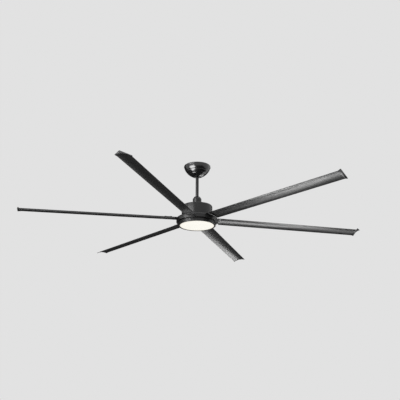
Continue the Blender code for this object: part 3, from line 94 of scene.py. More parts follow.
# Downrod and the cover over its coupling
ROD_RADIUS = 0.0097
ROD_WALL = 0.002
ROD_TOP_DEPTH = 0.020
ROD_BOTTOM_RISE = 0.147
PIN_RADIUS = 0.003
CLEVIS_PIN_RISE = 0.158
BALL_DEPTH = 0.044
COUPLING_COVER_RADIUS = 0.027
COUPLING_COVER_BOTTOM_RISE = 0.1277
COUPLING_COVER_SHOULDER_RISE = 0.174
COUPLING_COVER_TOP_RISE = 0.188
COUPLING_COVER_TOP_RADIUS = 0.018
COUPLING_COVER_WALL = 0.0015
COUPLING_COVER_ROUNDING = 0.002

# Motor housing (the drum)
DRUM_RADIUS = 0.095
DRUM_TOP_RISE = 0.1267
DRUM_BOTTOM_RISE = 0.0488
DRUM_WALL = 0.0025
DRUM_ROUNDING = 0.005
DRUM_HOLE_RADIUS = 0.013
INNER_ROUNDING = 0.0022
UPPER_BEARING_RISE = 0.1135
LOWER_BEARING_RISE = 0.0345
BEARING_HEIGHT = 0.010
BOSS_INNER_RADIUS = 0.0178
BOSS_RADIUS = 0.0218

# Blade ring, the casting that carries the blades
RING_RADIUS = 0.127
RING_TOP_RISE = 0.0485
RING_BOTTOM_RISE = 0.0216
RING_WALL = 0.003
RING_ROUNDING = 0.007
RING_LINE_RISE = 0.0405
RING_LINE_CUT = 0.0008
RING_LINE_HALF_HEIGHT = 0.0005
RING_HOLE_RADIUS = 0.014
RING_COVER_THICKNESS = 0.002
RING_COVER_HOLE_RADIUS = 0.030

# Blade arms
ARM_BLOCK_LENGTH = 0.0193
ARM_HALF_WIDTH = 0.014
ARM_THICKNESS = 0.005
ARM_NECK_RISE = 0.0005
ARM_FOOT_INNER = 0.083
ARM_FOOT_OUTER = 0.106
ARM_BOLT_REACH = 0.0945
ARM_BOLT_SPREAD = 0.008
ARM_BOLT_RADIUS = 0.0025
ARM_BOLT_COVERED_DEPTH = 0.001
ARM_BLOCK_REAR_AT_RING = 0.015
ARM_TONGUE_LENGTH = 0.070
ARM_TONGUE_HALF_WIDTH = 0.024
ARM_TONGUE_THICKNESS = 0.0026

# Blades
BLADE_END_REACH = 1.0470
BLADE_CHORD = 0.0817
BLADE_PITCH_DEG = 10.57
BLADE_RISE = 0.0373
BLADE_DROOP_PER_REACH = -0.0118
BLADE_CAMBER = 0.0078
BLADE_EDGE_THICKNESS = 0.0014
BLADE_THICKNESS = 0.0052
BLADE_THICKNESS_POWER = 0.6
BLADE_CHORD_STEPS = 32
BLADE_NOSE_STEPS = 6
TONGUE_STEPS = 8

# Plate and screws on top of each blade root
BLADE_PLATE_START = 0.010
BLADE_PLATE_LENGTH = 0.048
BLADE_PLATE_HALF_WIDTH = 0.016
BLADE_PLATE_THICKNESS = 0.0012
BLADE_SCREW_RADIUS = 0.002
BLADE_SCREW_HEAD_RADIUS = 0.004
BLADE_SCREW_HEAD_HEIGHT = 0.0016
BLADE_SCREW_SOCKET_RADIUS = 0.0017
BLADE_SCREW_SOCKET_CUT = 0.001
BLADE_SCREW_SOCKET_SIDES = 6
BLADE_SCREW_SEAT_SHARE = 0.75
BLADE_SCREW_INSET = 0.008
BLADE_SCREW_SPREAD = 0.010

# End fins
FIN_REACH = 1.0660
FIN_SWEEP_BACK = 0.005
FIN_REAR_SIDE = 0.0449
FIN_REAR_RISE = 0.0022
FIN_PEAK_SIDE = 0.0226
FIN_PEAK_RISE = 0.0214
FIN_FRONT_SIDE = 0.0410
FIN_FRONT_RISE = -0.0022
FIN_FRONT_TOP_RISE = 0.0006
FIN_THICKNESS = 0.004
FIN_FILLET_REACH = 0.006
FIN_FILLET_SHARE = 0.16
FIN_REAR_LENGTH = 0.0045
FIN_LIP = 0.0006
FIN_TONGUE_LENGTH = 0.012
FIN_REAR_STEPS = 36
FIN_FRONT_STEPS = 12

# Light
LIGHT_RADIUS = 0.1155
LIGHT_HOUSING_TOP_RISE = 0.0204
LIGHT_HOUSING_BOTTOM_RISE = 0.0102
LIGHT_HOUSING_WALL = 0.0035
LIGHT_HOUSING_TOP_THICKNESS = 0.0015
LIGHT_HOUSING_ROUNDING = 0.001
SHAFT_HOLE_RADIUS = 0.0089
BEZEL_BOTTOM_RISE = 0.0006
BEZEL_LIP_THICKNESS = 0.003
BEZEL_CHAMFER = 0.0015
BEZEL_ROUNDING = 0.0006
BEZEL_SKIRT_HEIGHT = 0.004
BEZEL_SKIRT_RADIUS = 0.1116
BEZEL_INNER_RADIUS = 0.1096
DIFFUSER_RADIUS = 0.105
DIFFUSER_FLAT_RADIUS = 0.098
DIFFUSER_FLANGE_RADIUS = 0.1092
DIFFUSER_FLANGE_THICKNESS = 0.0015
DIFFUSER_FACE_RISE = 0.0002
DIFFUSER_EDGE_RISE = 0.0007
DIFFUSER_SHOULDER_RISE = 0.0014
DIFFUSER_WALL = 0.002
DIFFUSER_EDGE_ROUNDING = 0.004

# Darker and lighter tone of each finish
BLACK_STEEL_TONES = ((0.008, 0.008, 0.0085), (0.013, 0.013, 0.0135))
BLACK_ALUMINIUM_TONES = ((0.009, 0.009, 0.0095), (0.015, 0.015, 0.0155))
BLACK_PLASTIC_TONES = ((0.012, 0.012, 0.013), (0.022, 0.022, 0.023))
ZINC_TONES = ((0.46, 0.46, 0.45), (0.62, 0.62, 0.60))
MAGNET_TONES = ((0.055, 0.055, 0.06), (0.10, 0.10, 0.105))
COPPER_TONES = ((0.62, 0.26, 0.12), (0.80, 0.40, 0.20))
BOARD_TONES = ((0.80, 0.80, 0.77), (0.88, 0.88, 0.86))
OPAL_TONES = ((0.76, 0.74, 0.69), (0.80, 0.78, 0.73))

# Part of a noise pattern's range over which a tone or roughness changes
MIDDLE_SHARE = (0.35, 0.65)
WIDE_SHARE = (0.3, 0.7)

# Black paint, and the clear lacquer over that of the canopy
PAINT_ROUGHNESS = 0.3
PAINT_SPECULAR = 0.5
FINE_GRAIN = 0.00001
RUBBED_GAIN = 2.6
RUBBED_POINTINESS = (0.53, 0.62)
LACQUERED_ROUGHNESS = 0.28
LACQUER_ROUGHNESS = 0.17
LACQUER_SPECULAR_LOSS = 0.2

# Glow of the opal disc, from its middle to its rim and the dark line at its edge
GLOW_STRENGTH = 0.72
GLOW_MIDDLE_TONE = (1.0, 0.975, 0.90)
GLOW_RIM_TONE = (0.98, 0.94, 0.84)
GLOW_EDGE_TONE = (0.35, 0.30, 0.22)
GLOW_FALL_SHARE = 0.8
GLOW_EDGE_WIDTH = 0.003

# Camera and studio
CAMERA_PLACE = (0, -3.3577, -1.4103)
CAMERA_PITCH_DEG = 19.44
CAMERA_YAW_DEG = 0.31
CAMERA_ROLL_DEG = 0.24
CAMERA_LENS_MM = 51.32
SENSOR_MM = 36
BACKGROUND_LEVEL = 0.76
AMBIENT_LEVEL = 0.42
FLOOR_Z = -6.5
FLOOR_HALF_SIZE = 200
FLOOR_TONE = 0.74
FLOOR_LIFT = 0.4
STAGE_ROUGHNESS = 0.9

# Name, place, aim, width, height and radiance of each light. The panels show in gloss alone.
SOFT_LIGHTS = (
    ("overhead_light", (0.3, -0.6, 2.4), (0, 0, -0.3), 3.0, 3.0, 1.2),
    ("high_left_light", (-2.35, -1.95, 0.55), (0, 0, -0.3), 2.6, 0.6, 6.0),
)
SHEEN_PANELS = (
    ("low_left_panel", (-1.6, -1.2, -1.6), (0, 0, -0.04), 2.1, 1.8, 12.5),
    ("low_back_panel", (0.7, 1.82, -2.13), (0.1, 0, -0.37), 0.8, 0.7, 6.2),
    ("low_wide_panel", (0.1, 1.53, -2.47), (0.1, 0, -0.37), 0.9, 0.6, 4.0),
    ("back_right_panel", (1.41, 1.68, -1.86), (0.1, 0, -0.37), 1.2, 0.9, 1.6),
    ("right_strip_panel", (1.18, 2.12, -1.43), (0.1, 0, -0.37), 0.35, 0.5, 2.8),
    ("back_strip_panel", (0.88, 2.39, -1.04), (0.1, 0, -0.37), 0.45, 0.3, 5.0),
)

# Dark cards that show in gloss alone
DARK_CARD_TONE = 0.04
DARK_CARD_REACH = 6.0
DARK_CARD_RIGHT_X = 2.4
DARK_CARD_Y = 3.0
DARK_CARD_LOW_Z = -3.15
DARK_CARD_HIGH_Z = 6.0

# The slot of each node that keeps its own shape. The others are plated steel.
NODE_SLOTS = {
    "receiver": "black_plastic",
    "hanger_ball": "black_plastic",
    "stator_winding": "copper",
    "magnet_ring": "magnet_grey",
    "led_board": "white_board",
    "led_driver": "black_plastic",
}

# Sizes that follow from those above
HALF_CHORD = BLADE_CHORD / 2
PITCH = math.radians(BLADE_PITCH_DEG)
BLADE_ROOT_REACH = RING_RADIUS + ARM_BLOCK_LENGTH
ARM_BLOCK_START = RING_RADIUS - RING_WALL * 4
ARM_TONGUE_START = BLADE_ROOT_REACH - RING_WALL * 2


def level(rise):
    """Height of something that sits this far above the face of the light."""
    return rise - DROP


# Materials


def new_material(name):
    made = bpy.data.materials.new(name)
    made.use_nodes = True
    return made


def add_node(material, kind, **settings):
    node = material.node_tree.nodes.new(kind)
    for key, value in settings.items():
        setattr(node, key, value)
    return node


def connect(material, output, socket):
    material.node_tree.links.new(output, socket)


def noise(material, scale, detail=3, stretch=(1, 1, 1)):
    """A noise pattern fixed to the piece, with its scale counted per metre."""
    coordinates = add_node(material, "ShaderNodeTexCoord")
    mapping = add_node(material, "ShaderNodeMapping")
    mapping.inputs["Scale"].default_value = stretch
    texture = add_node(material, "ShaderNodeTexNoise")
    texture.inputs["Scale"].default_value = scale
    texture.inputs["Detail"].default_value = detail
    connect(material, coordinates.outputs["Object"], mapping.inputs["Vector"])
    connect(material, mapping.outputs["Vector"], texture.inputs["Vector"])
    return texture.outputs["Fac"]


def in_range(material, value, from_low, from_high, low, high):
    node = add_node(material, "ShaderNodeMapRange")
    node.inputs["From Min"].default_value = from_low
    node.inputs["From Max"].default_value = from_high
    node.inputs["To Min"].default_value = low
    node.inputs["To Max"].default_value = high
    connect(material, value, node.inputs["Value"])
    return node.outputs["Result"]


def mixed_colour(material, factor, first, second):
    """Two colours mixed by a factor. The first may be a colour or another node's output."""
    node = add_node(material, "ShaderNodeMix", data_type="RGBA")
    connect(material, factor, node.inputs["Factor"])
    if isinstance(first, tuple):
        node.inputs["A"].default_value = (*first, 1)
    else:
        connect(material, first, node.inputs["A"])
    node.inputs["B"].default_value = (*second, 1)
    return node.outputs["Result"]


def bumped(material, shader, height, distance):
    node = add_node(material, "ShaderNodeBump")
    node.inputs["Distance"].default_value = distance
    connect(material, height, node.inputs["Height"])
    connect(material, node.outputs["Normal"], shader.inputs["Normal"])


def worn_edges(material):
    """How strongly a point is on a worn outer edge, from 0 to 1."""
    geometry = add_node(material, "ShaderNodeNewGeometry")
    return in_range(material, geometry.outputs["Pointiness"], *RUBBED_POINTINESS, 0, 1)


def clouded(material, tones, share, **pattern):
    """A dark and a light tone mixed by a noise pattern."""
    factor = in_range(material, noise(material, **pattern), *share, 0, 1)
    return mixed_colour(material, factor, *tones)


def vary_roughness(material, shader, pattern, low, high):
    connect(material, in_range(material, pattern, *WIDE_SHARE, low, high), shader.inputs["Roughness"])


def black_paint(name, tones, roughness, lacquer=0):
    """Satin black paint: cloudy tone, fine orange-peel grain, edges rubbed a little paler."""
    made = new_material(name)
    shader = made.node_tree.nodes["Principled BSDF"]
    tone = clouded(made, tones, MIDDLE_SHARE, scale=14, detail=4)
    rubbed = tuple(channel * RUBBED_GAIN for channel in tones[1])
    tone = mixed_colour(made, worn_edges(made), tone, rubbed)
    connect(made, tone, shader.inputs["Base Color"])
    blotches = noise(made, scale=30, detail=2)
    vary_roughness(made, shader, blotches, roughness - 0.02, roughness + 0.03)
    specular = PAINT_SPECULAR - LACQUER_SPECULAR_LOSS * lacquer
    shader.inputs["Specular IOR Level"].default_value = specular
    shader.inputs["Coat Weight"].default_value = lacquer
    shader.inputs["Coat Roughness"].default_value = LACQUER_ROUGHNESS
    bumped(made, shader, noise(made, scale=900, detail=2), FINE_GRAIN)
    return made


def bare_metal(name, tones, roughness, stretch):
    """Plated or bare metal with faint drawn lines and a spotty sheen."""
    made = new_material(name)
    shader = made.node_tree.nodes["Principled BSDF"]
    shader.inputs["Metallic"].default_value = 1
    tone = clouded(made, tones, MIDDLE_SHARE, scale=160, detail=4)
    connect(made, tone, shader.inputs["Base Color"])
    lines = noise(made, scale=420, stretch=stretch)
    vary_roughness(made, shader, lines, roughness - 0.08, roughness + 0.1)
    bumped(made, shader, lines, 3 * FINE_GRAIN)
    return made


def moulded(name, tones, roughness, scale, grain=FINE_GRAIN):
    """Moulded or pressed material with a dusty tone and a fine texture."""
    made = new_material(name)
    shader = made.node_tree.nodes["Principled BSDF"]
    tone = clouded(made, tones, MIDDLE_SHARE, scale=45, detail=4)
    connect(made, tone, shader.inputs["Base Color"])
    texture = noise(made, scale)
    vary_roughness(made, shader, texture, roughness - 0.06, roughness + 0.06)
    bumped(made, shader, texture, grain)
    return made


def opal_glow():
    """Opal plastic lit from behind: a warm glow that falls off towards a dark line at its edge."""
    made = new_material("opal_glow")
    shader = made.node_tree.nodes["Principled BSDF"]
    coordinates = add_node(made, "ShaderNodeTexCoord")
    flat = add_node(made, "ShaderNodeVectorMath", operation="MULTIPLY")
    flat.inputs[1].default_value = (1, 1, 0)
    connect(made, coordinates.outputs["Object"], flat.inputs[0])
    length = add_node(made, "ShaderNodeVectorMath", operation="LENGTH")
    connect(made, flat.outputs["Vector"], length.inputs[0])
    reach = length.outputs["Value"]
    fall_start = DIFFUSER_FLAT_RADIUS * GLOW_FALL_SHARE
    rim = in_range(made, reach, fall_start, DIFFUSER_RADIUS, 0, 1)
    tone = mixed_colour(made, rim, GLOW_MIDDLE_TONE, GLOW_RIM_TONE)
    edge = in_range(made, reach, DIFFUSER_RADIUS - GLOW_EDGE_WIDTH, DIFFUSER_RADIUS, 0, 1)
    tone = mixed_colour(made, edge, tone, GLOW_EDGE_TONE)
    connect(made, tone, shader.inputs["Emission Color"])
    shader.inputs["Emission Strength"].default_value = GLOW_STRENGTH
    tone = clouded(made, OPAL_TONES, WIDE_SHARE, scale=30)
    connect(made, tone, shader.inputs["Base Color"])
    spots = noise(made, scale=240, detail=2)
    vary_roughness(made, shader, spots, low=0.32, high=0.42)
    bumped(made, shader, noise(made, scale=700, detail=2), 2 * FINE_GRAIN)
    return made


def stage_material(name, tone):
    """A matt neutral grey for the studio."""
    made = new_material(name)
    shader = made.node_tree.nodes["Principled BSDF"]
    shader.inputs["Base Color"].default_value = (tone, tone, tone, 1)
    shader.inputs["Roughness"].default_value = STAGE_ROUGHNESS
    return made


def set_seen_level(owner, socket, otherwise, seen_level):
    """One level where the camera, a mirror or glass looks, and another for all other light."""
    nodes = owner.node_tree.nodes
    links = owner.node_tree.links
    path = nodes.new("ShaderNodeLightPath")
    seen = path.outputs["Is Camera Ray"]
    for kind in ("Is Glossy Ray", "Is Transmission Ray"):
        either = nodes.new("ShaderNodeMath")
        either.operation = "MAXIMUM"
        links.new(seen, either.inputs[0])
        links.new(path.outputs[kind], either.inputs[1])
        seen = either.outputs["Value"]
    level_range = nodes.new("ShaderNodeMapRange")
    level_range.inputs["To Min"].default_value = otherwise
    level_range.inputs["To Max"].default_value = seen_level
    links.new(seen, level_range.inputs["Value"])
    links.new(level_range.outputs["Result"], socket)


def pale_floor():
    """A pale floor that shows about as bright as the surround and keeps the fan's shadow."""
    made = stage_material("pale_floor", FLOOR_TONE)
    shader = made.node_tree.nodes["Principled BSDF"]
    shader.inputs["Emission Color"].default_value = (1, 1, 1, 1)
    set_seen_level(made, shader.inputs["Emission Strength"], 0, FLOOR_LIFT)
    return made


# Meshes


def add_object(name, mesh):
    obj = bpy.data.objects.new(name, mesh)
    bpy.context.scene.collection.objects.link(obj)
    return obj


def settle(obj):
    """Keep the shape that the modifiers give, without the modifiers."""
    graph = bpy.context.evaluated_depsgraph_get()
    mesh = bpy.data.meshes.new_from_object(obj.evaluated_get(graph))
    obj.modifiers.clear()
    obj.data = mesh
    return obj


def combine(obj, other, operation):
    change = obj.modifiers.new(operation.lower(), "BOOLEAN")
    change.operation = operation
    change.solver = "EXACT"
    change.object = other
    settle(obj)
    bpy.data.objects.remove(other, do_unlink=True)
    return obj


def cut(obj, cutter):
    return combine(obj, cutter, "DIFFERENCE")


def join(obj, other):
    return combine(obj, other, "UNION")


def eased(obj, width):
    """Round the piece's hard edges by a small width."""
    change = obj.modifiers.new("ease", "BEVEL")
    change.width = width
    change.segments = EDGE_SEGMENTS
    change.limit_method = "ANGLE"
    change.angle_limit = math.radians(SMOOTH_ANGLE_DEG)
    change.use_clamp_overlap = True
    return settle(obj)


def smooth(obj):
    obj.data.shade_smooth()
    obj.data.set_sharp_from_angle(angle=math.radians(SMOOTH_ANGLE_DEG))
    return obj


def rounded(corners):
    """Corners of (radius, height, rounding) as plain points, each rounding drawn as an arc."""
    points = []
    for i, (radius, height, rounding) in enumerate(corners):
        here = Vector((radius, height))
        if not rounding:
            points.append(tuple(here))
            continue
        to_last = (Vector(corners[i - 1][:2]) - here).normalized()
        to_next = (Vector(corners[(i + 1) % len(corners)][:2]) - here).normalized()
        half_angle = to_last.angle(to_next) / 2
        along = rounding / math.tan(half_angle)
        middle = here + (to_last + to_next).normalized() * rounding / math.sin(half_angle)
        start = here + to_last * along - middle
        end = here + to_next * along - middle
        for step in range(CORNER_STEPS + 1):
            along_arc = start.slerp(end, step / CORNER_STEPS).normalized()
            points.append(tuple(middle + along_arc * rounding))
    return points


def lathe(name, outline, steps=ROUND_STEPS):
    """A closed piece turned about Z from a closed outline of (radius, height) points."""
    mesh = bpy.data.meshes.new(name)
    shape = bmesh.new()
    turns = [2 * math.pi * i / steps for i in range(steps)]
    rings = []
    for radius, height in outline:
        if radius == 0:
            rings.append([shape.verts.new((0, 0, height))] * steps)
        else:
            places = [(radius * math.cos(t), radius * math.sin(t), height) for t in turns]
            rings.append([shape.verts.new(place) for place in places])
    for ring, following in zip(rings, rings[1:] + rings[:1]):
        for i in range(steps):
            j = (i + 1) % steps
            corners = [ring[i], ring[j], following[j], following[i]]
            corners = [corner for k, corner in enumerate(corners) if corner not in corners[:k]]
            if len(corners) > 2:
                shape.faces.new(corners)
    bmesh.ops.recalc_face_normals(shape, faces=shape.faces)
    shape.to_mesh(mesh)
    shape.free()
    return add_object(name, mesh)


def loft(name, sections):
    """A closed skin through sections of matching points, with a flat cap at both ends."""
    mesh = bpy.data.meshes.new(name)
    shape = bmesh.new()
    rows = [[shape.verts.new(point) for point in section] for section in sections]
    for row, following in zip(rows, rows[1:]):
        for i in range(len(row)):
            j = (i + 1) % len(row)
            shape.faces.new((row[i], row[j], following[j], following[i]))
    shape.faces.new(rows[0][::-1])
    shape.faces.new(rows[-1])
    bmesh.ops.recalc_face_normals(shape, faces=shape.faces)
    shape.to_mesh(mesh)
    shape.free()
    return add_object(name, mesh)


def bar(name, radius, start, end, steps=SCREW_STEPS):
    """A round bar between two points."""
    start = Vector(start)
    run = Vector(end) - start
    mesh = bpy.data.meshes.new(name)
    shape = bmesh.new()
    turn = Vector((0, 0, 1)).rotation_difference(run).to_matrix().to_4x4()
    bmesh.ops.create_cone(
        shape,
        cap_ends=True,
        segments=steps,
        radius1=radius,
        radius2=radius,
        depth=run.length,
        matrix=Matrix.Translation(start + run / 2) @ turn,
    )
    shape.to_mesh(mesh)
    shape.free()
    return add_object(name, mesh)


def block(name, low, high):
    low = Vector(low)
    high = Vector(high)
    mesh = bpy.data.meshes.new(name)
    shape = bmesh.new()
    bmesh.ops.create_cube(shape, size=1)
    place = Matrix.Translation((low + high) / 2) @ Matrix.Diagonal((*(high - low), 1))
    bmesh.ops.transform(shape, matrix=place, verts=shape.verts)
    shape.to_mesh(mesh)
    shape.free()
    return add_object(name, mesh)


def copies(name, obj, turns):
    """One object that holds a copy of the given one at each turn about Z."""
    mesh = bpy.data.meshes.new(name)
    shape = bmesh.new()
    for turn in turns:
        shape.from_mesh(obj.data)
        added = shape.verts[-len(obj.data.vertices):]
        bmesh.ops.rotate(shape, verts=added, cent=(0, 0, 0), matrix=Matrix.Rotation(turn, 3, "Z"))
    shape.to_mesh(mesh)
    shape.free()
    bpy.data.objects.remove(obj, do_unlink=True)
    return add_object(name, mesh)


def blade_turns():
    first = math.radians(FIRST_BLADE_DEG)
    return [first + 2 * math.pi * i / BLADE_COUNT for i in range(BLADE_COUNT)]


# Canopy


def canopy_radius(depth):
    """Outer radius of the canopy's dome at a depth below the ceiling."""
    share = (depth - CANOPY_BEAD_DEPTH) / (CANOPY_TIP_DEPTH - CANOPY_BEAD_DEPTH)
    angle = math.asin(min(1, max(0, share)) ** (CANOPY_ROUNDNESS / 2))
    return CANOPY_RADIUS * math.cos(angle) ** (2 / CANOPY_ROUNDNESS)


def canopy_hole_depth():
    """Depth at which the dome has narrowed to its hole."""
    angle = math.acos((CANOPY_HOLE_RADIUS / CANOPY_RADIUS) ** (CANOPY_ROUNDNESS / 2))
    run = CANOPY_TIP_DEPTH - CANOPY_BEAD_DEPTH
    return CANOPY_BEAD_DEPTH + run * math.sin(angle) ** (2 / CANOPY_ROUNDNESS)


def groove_cut(depth):
    """How far the two shallow grooves cut in at a depth."""
    nearest = min(abs(depth - groove) for groove in CANOPY_GROOVE_DEPTHS)
    share = max(0, 1 - nearest / CANOPY_GROOVE_HALF_HEIGHT)
    return CANOPY_GROOVE_CUT * math.sin(math.pi / 2 * share)


def canopy_depths(steps):
    run = canopy_hole_depth() - CANOPY_BEAD_DEPTH
    return [CANOPY_BEAD_DEPTH + run * math.sin(math.pi / 2 * i / steps) for i in range(steps + 1)]


def canopy_outer():
    """The outer side, with closer points across the grooves."""
    steps = CANOPY_GROOVE_STEPS
    across = [
        groove + CANOPY_GROOVE_HALF_HEIGHT * offset / steps
        for groove in CANOPY_GROOVE_DEPTHS
        for offset in range(-steps - 1, steps + 2)
    ]
    clear = CANOPY_GROOVE_CLEARANCE * CANOPY_GROOVE_HALF_HEIGHT
    between = [
        depth
        for depth in canopy_depths(CANOPY_CURVE_STEPS)
        if all(abs(depth - groove) > clear for groove in CANOPY_GROOVE_DEPTHS)
    ]
    return [(canopy_radius(d) - groove_cut(d), -d) for d in sorted(between + across)]


def canopy_inner():
    """The inner side, moved in by the wall thickness square to the dome."""
    outer = [(canopy_radius(d), -d) for d in canopy_depths(CANOPY_INNER_STEPS)]
    inner = []
    for i, point in enumerate(outer):
        before = Vector(outer[max(0, i - 1)])
        after = Vector(outer[min(len(outer) - 1, i + 1)])
        along = (after - before).normalized()
        inner.append(tuple(Vector(point) + Vector((along.y, -along.x)) * CANOPY_WALL))
    return inner


def canopy_shell():
    rim = rounded(
        [
            (CANOPY_RIM_RADIUS - CANOPY_WALL, -CANOPY_RIM_DEPTH, 0),
            (CANOPY_RIM_RADIUS, -CANOPY_RIM_DEPTH, CANOPY_BEAD_ROUNDING),
            (CANOPY_RIM_RADIUS, -CANOPY_BEAD_DEPTH + SEAM_GAP, CANOPY_BEAD_ROUNDING / 2),
            (CANOPY_RADIUS, -CANOPY_BEAD_DEPTH, 0),
        ]
    )
    obj = lathe("canopy_shell", rim[:-1] + canopy_outer() + canopy_inner()[::-1])
    for side in (-1, 1):
        inside = (side * (CANOPY_RADIUS - CANOPY_WALL - CUT_MARGIN), 0, -CANOPY_SCREW_DEPTH)
        outside = (side * (CANOPY_RADIUS + CUT_MARGIN), 0, -CANOPY_SCREW_DEPTH)
        cut(obj, bar("hole", CANOPY_SCREW_RADIUS + FIT_GAP, inside, outside))
    return obj


def pan_head(radius, height):
    """Outline of a low domed screw head that stands on height 0."""
    rounding = height * PAN_HEAD_ROUNDING
    return rounded([(0, 0, 0), (radius, 0, 0), (radius, height, rounding), (0, height, 0)])


def canopy_screw(name, side):
    """A cross-recessed pan-head screw through the canopy's side."""
    seat = canopy_radius(CANOPY_SCREW_DEPTH - CANOPY_SCREW_HEAD_RADIUS) + SEAM_GAP
    obj = lathe(name, pan_head(CANOPY_SCREW_HEAD_RADIUS, CANOPY_SCREW_HEAD_HEIGHT), SCREW_STEPS)
    half = CANOPY_SCREW_SLOT_WIDTH / 2
    reach = CANOPY_SCREW_SLOT_LENGTH / 2
    floor = CANOPY_SCREW_HEAD_HEIGHT - CANOPY_SCREW_SLOT_CUT
    above = CANOPY_SCREW_HEAD_HEIGHT + CUT_MARGIN
    cut(obj, block("slot", (-half, -reach, floor), (half, reach, above)))
    cut(obj, block("slot", (-reach, -half, floor), (reach, half, above)))
    overlap = CANOPY_SCREW_HEAD_HEIGHT - CANOPY_SCREW_SLOT_CUT - SEAM_GAP
    join(obj, bar("shank", CANOPY_SCREW_RADIUS, (0, 0, -CANOPY_SCREW_LENGTH), (0, 0, overlap)))
    turn = Matrix.Rotation(side * math.pi / 2, 4, "Y")
    obj.data.transform(Matrix.Translation((side * seat, 0, -CANOPY_SCREW_DEPTH)) @ turn)
    return obj


# Rod, coupling cover and motor


def downrod_tube():
    top = -ROD_TOP_DEPTH
    bottom = level(ROD_BOTTOM_RISE)
    inner = ROD_RADIUS - ROD_WALL
    outline = rounded(
        [
            (inner, top, 0),
            (ROD_RADIUS, top, FINE_EDGE),
            (ROD_RADIUS, bottom, FINE_EDGE),
            (inner, bottom, 0),
        ]
    )
    obj = lathe("downrod_tube", outline, SLIM_ROUND_STEPS)
    for z in (-BALL_DEPTH, level(CLEVIS_PIN_RISE)):
        ends = (-ROD_RADIUS - CUT_MARGIN, 0, z), (ROD_RADIUS + CUT_MARGIN, 0, z)
        cut(obj, bar("hole", PIN_RADIUS + FIT_GAP, *ends))
    return obj


def coupling_cover_shell():
    bottom = level(COUPLING_COVER_BOTTOM_RISE)
    shoulder = level(COUPLING_COVER_SHOULDER_RISE)
    top = level(COUPLING_COVER_TOP_RISE)
    wall = COUPLING_COVER_WALL
    hole = ROD_RADIUS + FIT_GAP
    outline = rounded(
        [
            (hole, top, 0),
            (COUPLING_COVER_TOP_RADIUS, top, FINE_EDGE),
            (COUPLING_COVER_RADIUS, shoulder, COUPLING_COVER_ROUNDING),
            (COUPLING_COVER_RADIUS, bottom, FINE_EDGE),
            (COUPLING_COVER_RADIUS - wall, bottom, 0),
            (COUPLING_COVER_RADIUS - wall, shoulder - wall / 2, 0),
            (COUPLING_COVER_TOP_RADIUS - wall / 2, top - wall, 0),
            (hole, top - wall, 0),
        ]
    )
    return lathe("coupling_cover_shell", outline, SLIM_ROUND_STEPS)


def drum_shell():
    """The drum, with the boss inside its top that holds the upper bearing."""
    inner = DRUM_RADIUS - DRUM_WALL
    top = level(DRUM_TOP_RISE)
    bottom = level(DRUM_BOTTOM_RISE)
    ceiling = top - DRUM_WALL
    boss_bottom = level(UPPER_BEARING_RISE)
    seat = boss_bottom + BEARING_HEIGHT + SEAM_GAP
    outline = rounded(
        [
            (DRUM_HOLE_RADIUS, top, FINE_EDGE),
            (DRUM_RADIUS, top, DRUM_ROUNDING),
            (DRUM_RADIUS, bottom, FINE_EDGE),
            (inner, bottom, 0),
            (inner, ceiling, INNER_ROUNDING),
            (BOSS_RADIUS, ceiling, 0),
            (BOSS_RADIUS, boss_bottom, 0),
            (BOSS_INNER_RADIUS, boss_bottom, 0),
            (BOSS_INNER_RADIUS, seat, 0),
            (DRUM_HOLE_RADIUS, seat, 0),
        ]
    )
    return lathe("drum_shell", outline)


def ring_casting():
    """The ring with its fine line, its windows for the arms and the boss of the lower bearing."""
    top = level(RING_TOP_RISE)
    bottom = level(RING_BOTTOM_RISE)
    deck = top - RING_WALL
    line = level(RING_LINE_RISE)
    wall = RING_RADIUS - RING_WALL
    boss_bottom = level(LOWER_BEARING_RISE)
    seat = boss_bottom + BEARING_HEIGHT + SEAM_GAP
    outline = rounded(
        [
            (RING_HOLE_RADIUS, top, FINE_EDGE),
            (RING_RADIUS, top, RING_ROUNDING),
            (RING_RADIUS, line + RING_LINE_HALF_HEIGHT, 0),
            (RING_RADIUS - RING_LINE_CUT, line, 0),
            (RING_RADIUS, line - RING_LINE_HALF_HEIGHT, 0),
            (RING_RADIUS, bottom, FINE_EDGE),
            (wall, bottom, 0),
            (wall, deck, INNER_ROUNDING),
            (BOSS_RADIUS, deck, 0),
            (BOSS_RADIUS, boss_bottom, 0),
            (BOSS_INNER_RADIUS, boss_bottom, 0),
            (BOSS_INNER_RADIUS, seat, 0),
            (RING_HOLE_RADIUS, seat, 0),
        ]
    )
    obj = lathe("ring_casting", outline)
    reaches = (wall - CUT_MARGIN, RING_RADIUS + CUT_MARGIN)
    window = strip("window", reaches, ARM_HALF_WIDTH + RUNNING_GAP, window_lower, window_upper)
    cut(obj, copies("windows", window, blade_turns()))
    bolt = ARM_BOLT_RADIUS + SEAM_GAP
    for side in (-ARM_BOLT_SPREAD, ARM_BOLT_SPREAD):
        low = (ARM_BOLT_REACH, side, deck - CUT_MARGIN)
        high = (ARM_BOLT_REACH, side, top - ARM_BOLT_COVERED_DEPTH)
        cut(obj, copies("holes", bar("hole", bolt, low, high), blade_turns()))
    return obj


def ring_cover_plate():
    bottom = level(RING_BOTTOM_RISE)
    outer = RING_RADIUS - RING_WALL - FIT_GAP
    top = bottom + RING_COVER_THICKNESS
    outline = rounded(
        [
            (RING_COVER_HOLE_RADIUS, top, 0),
            (outer, top, FINE_EDGE),
            (outer, bottom, FINE_EDGE),
            (RING_COVER_HOLE_RADIUS, bottom, FINE_EDGE),
        ]
    )
    return lathe("ring_cover_plate", outline)


# Light


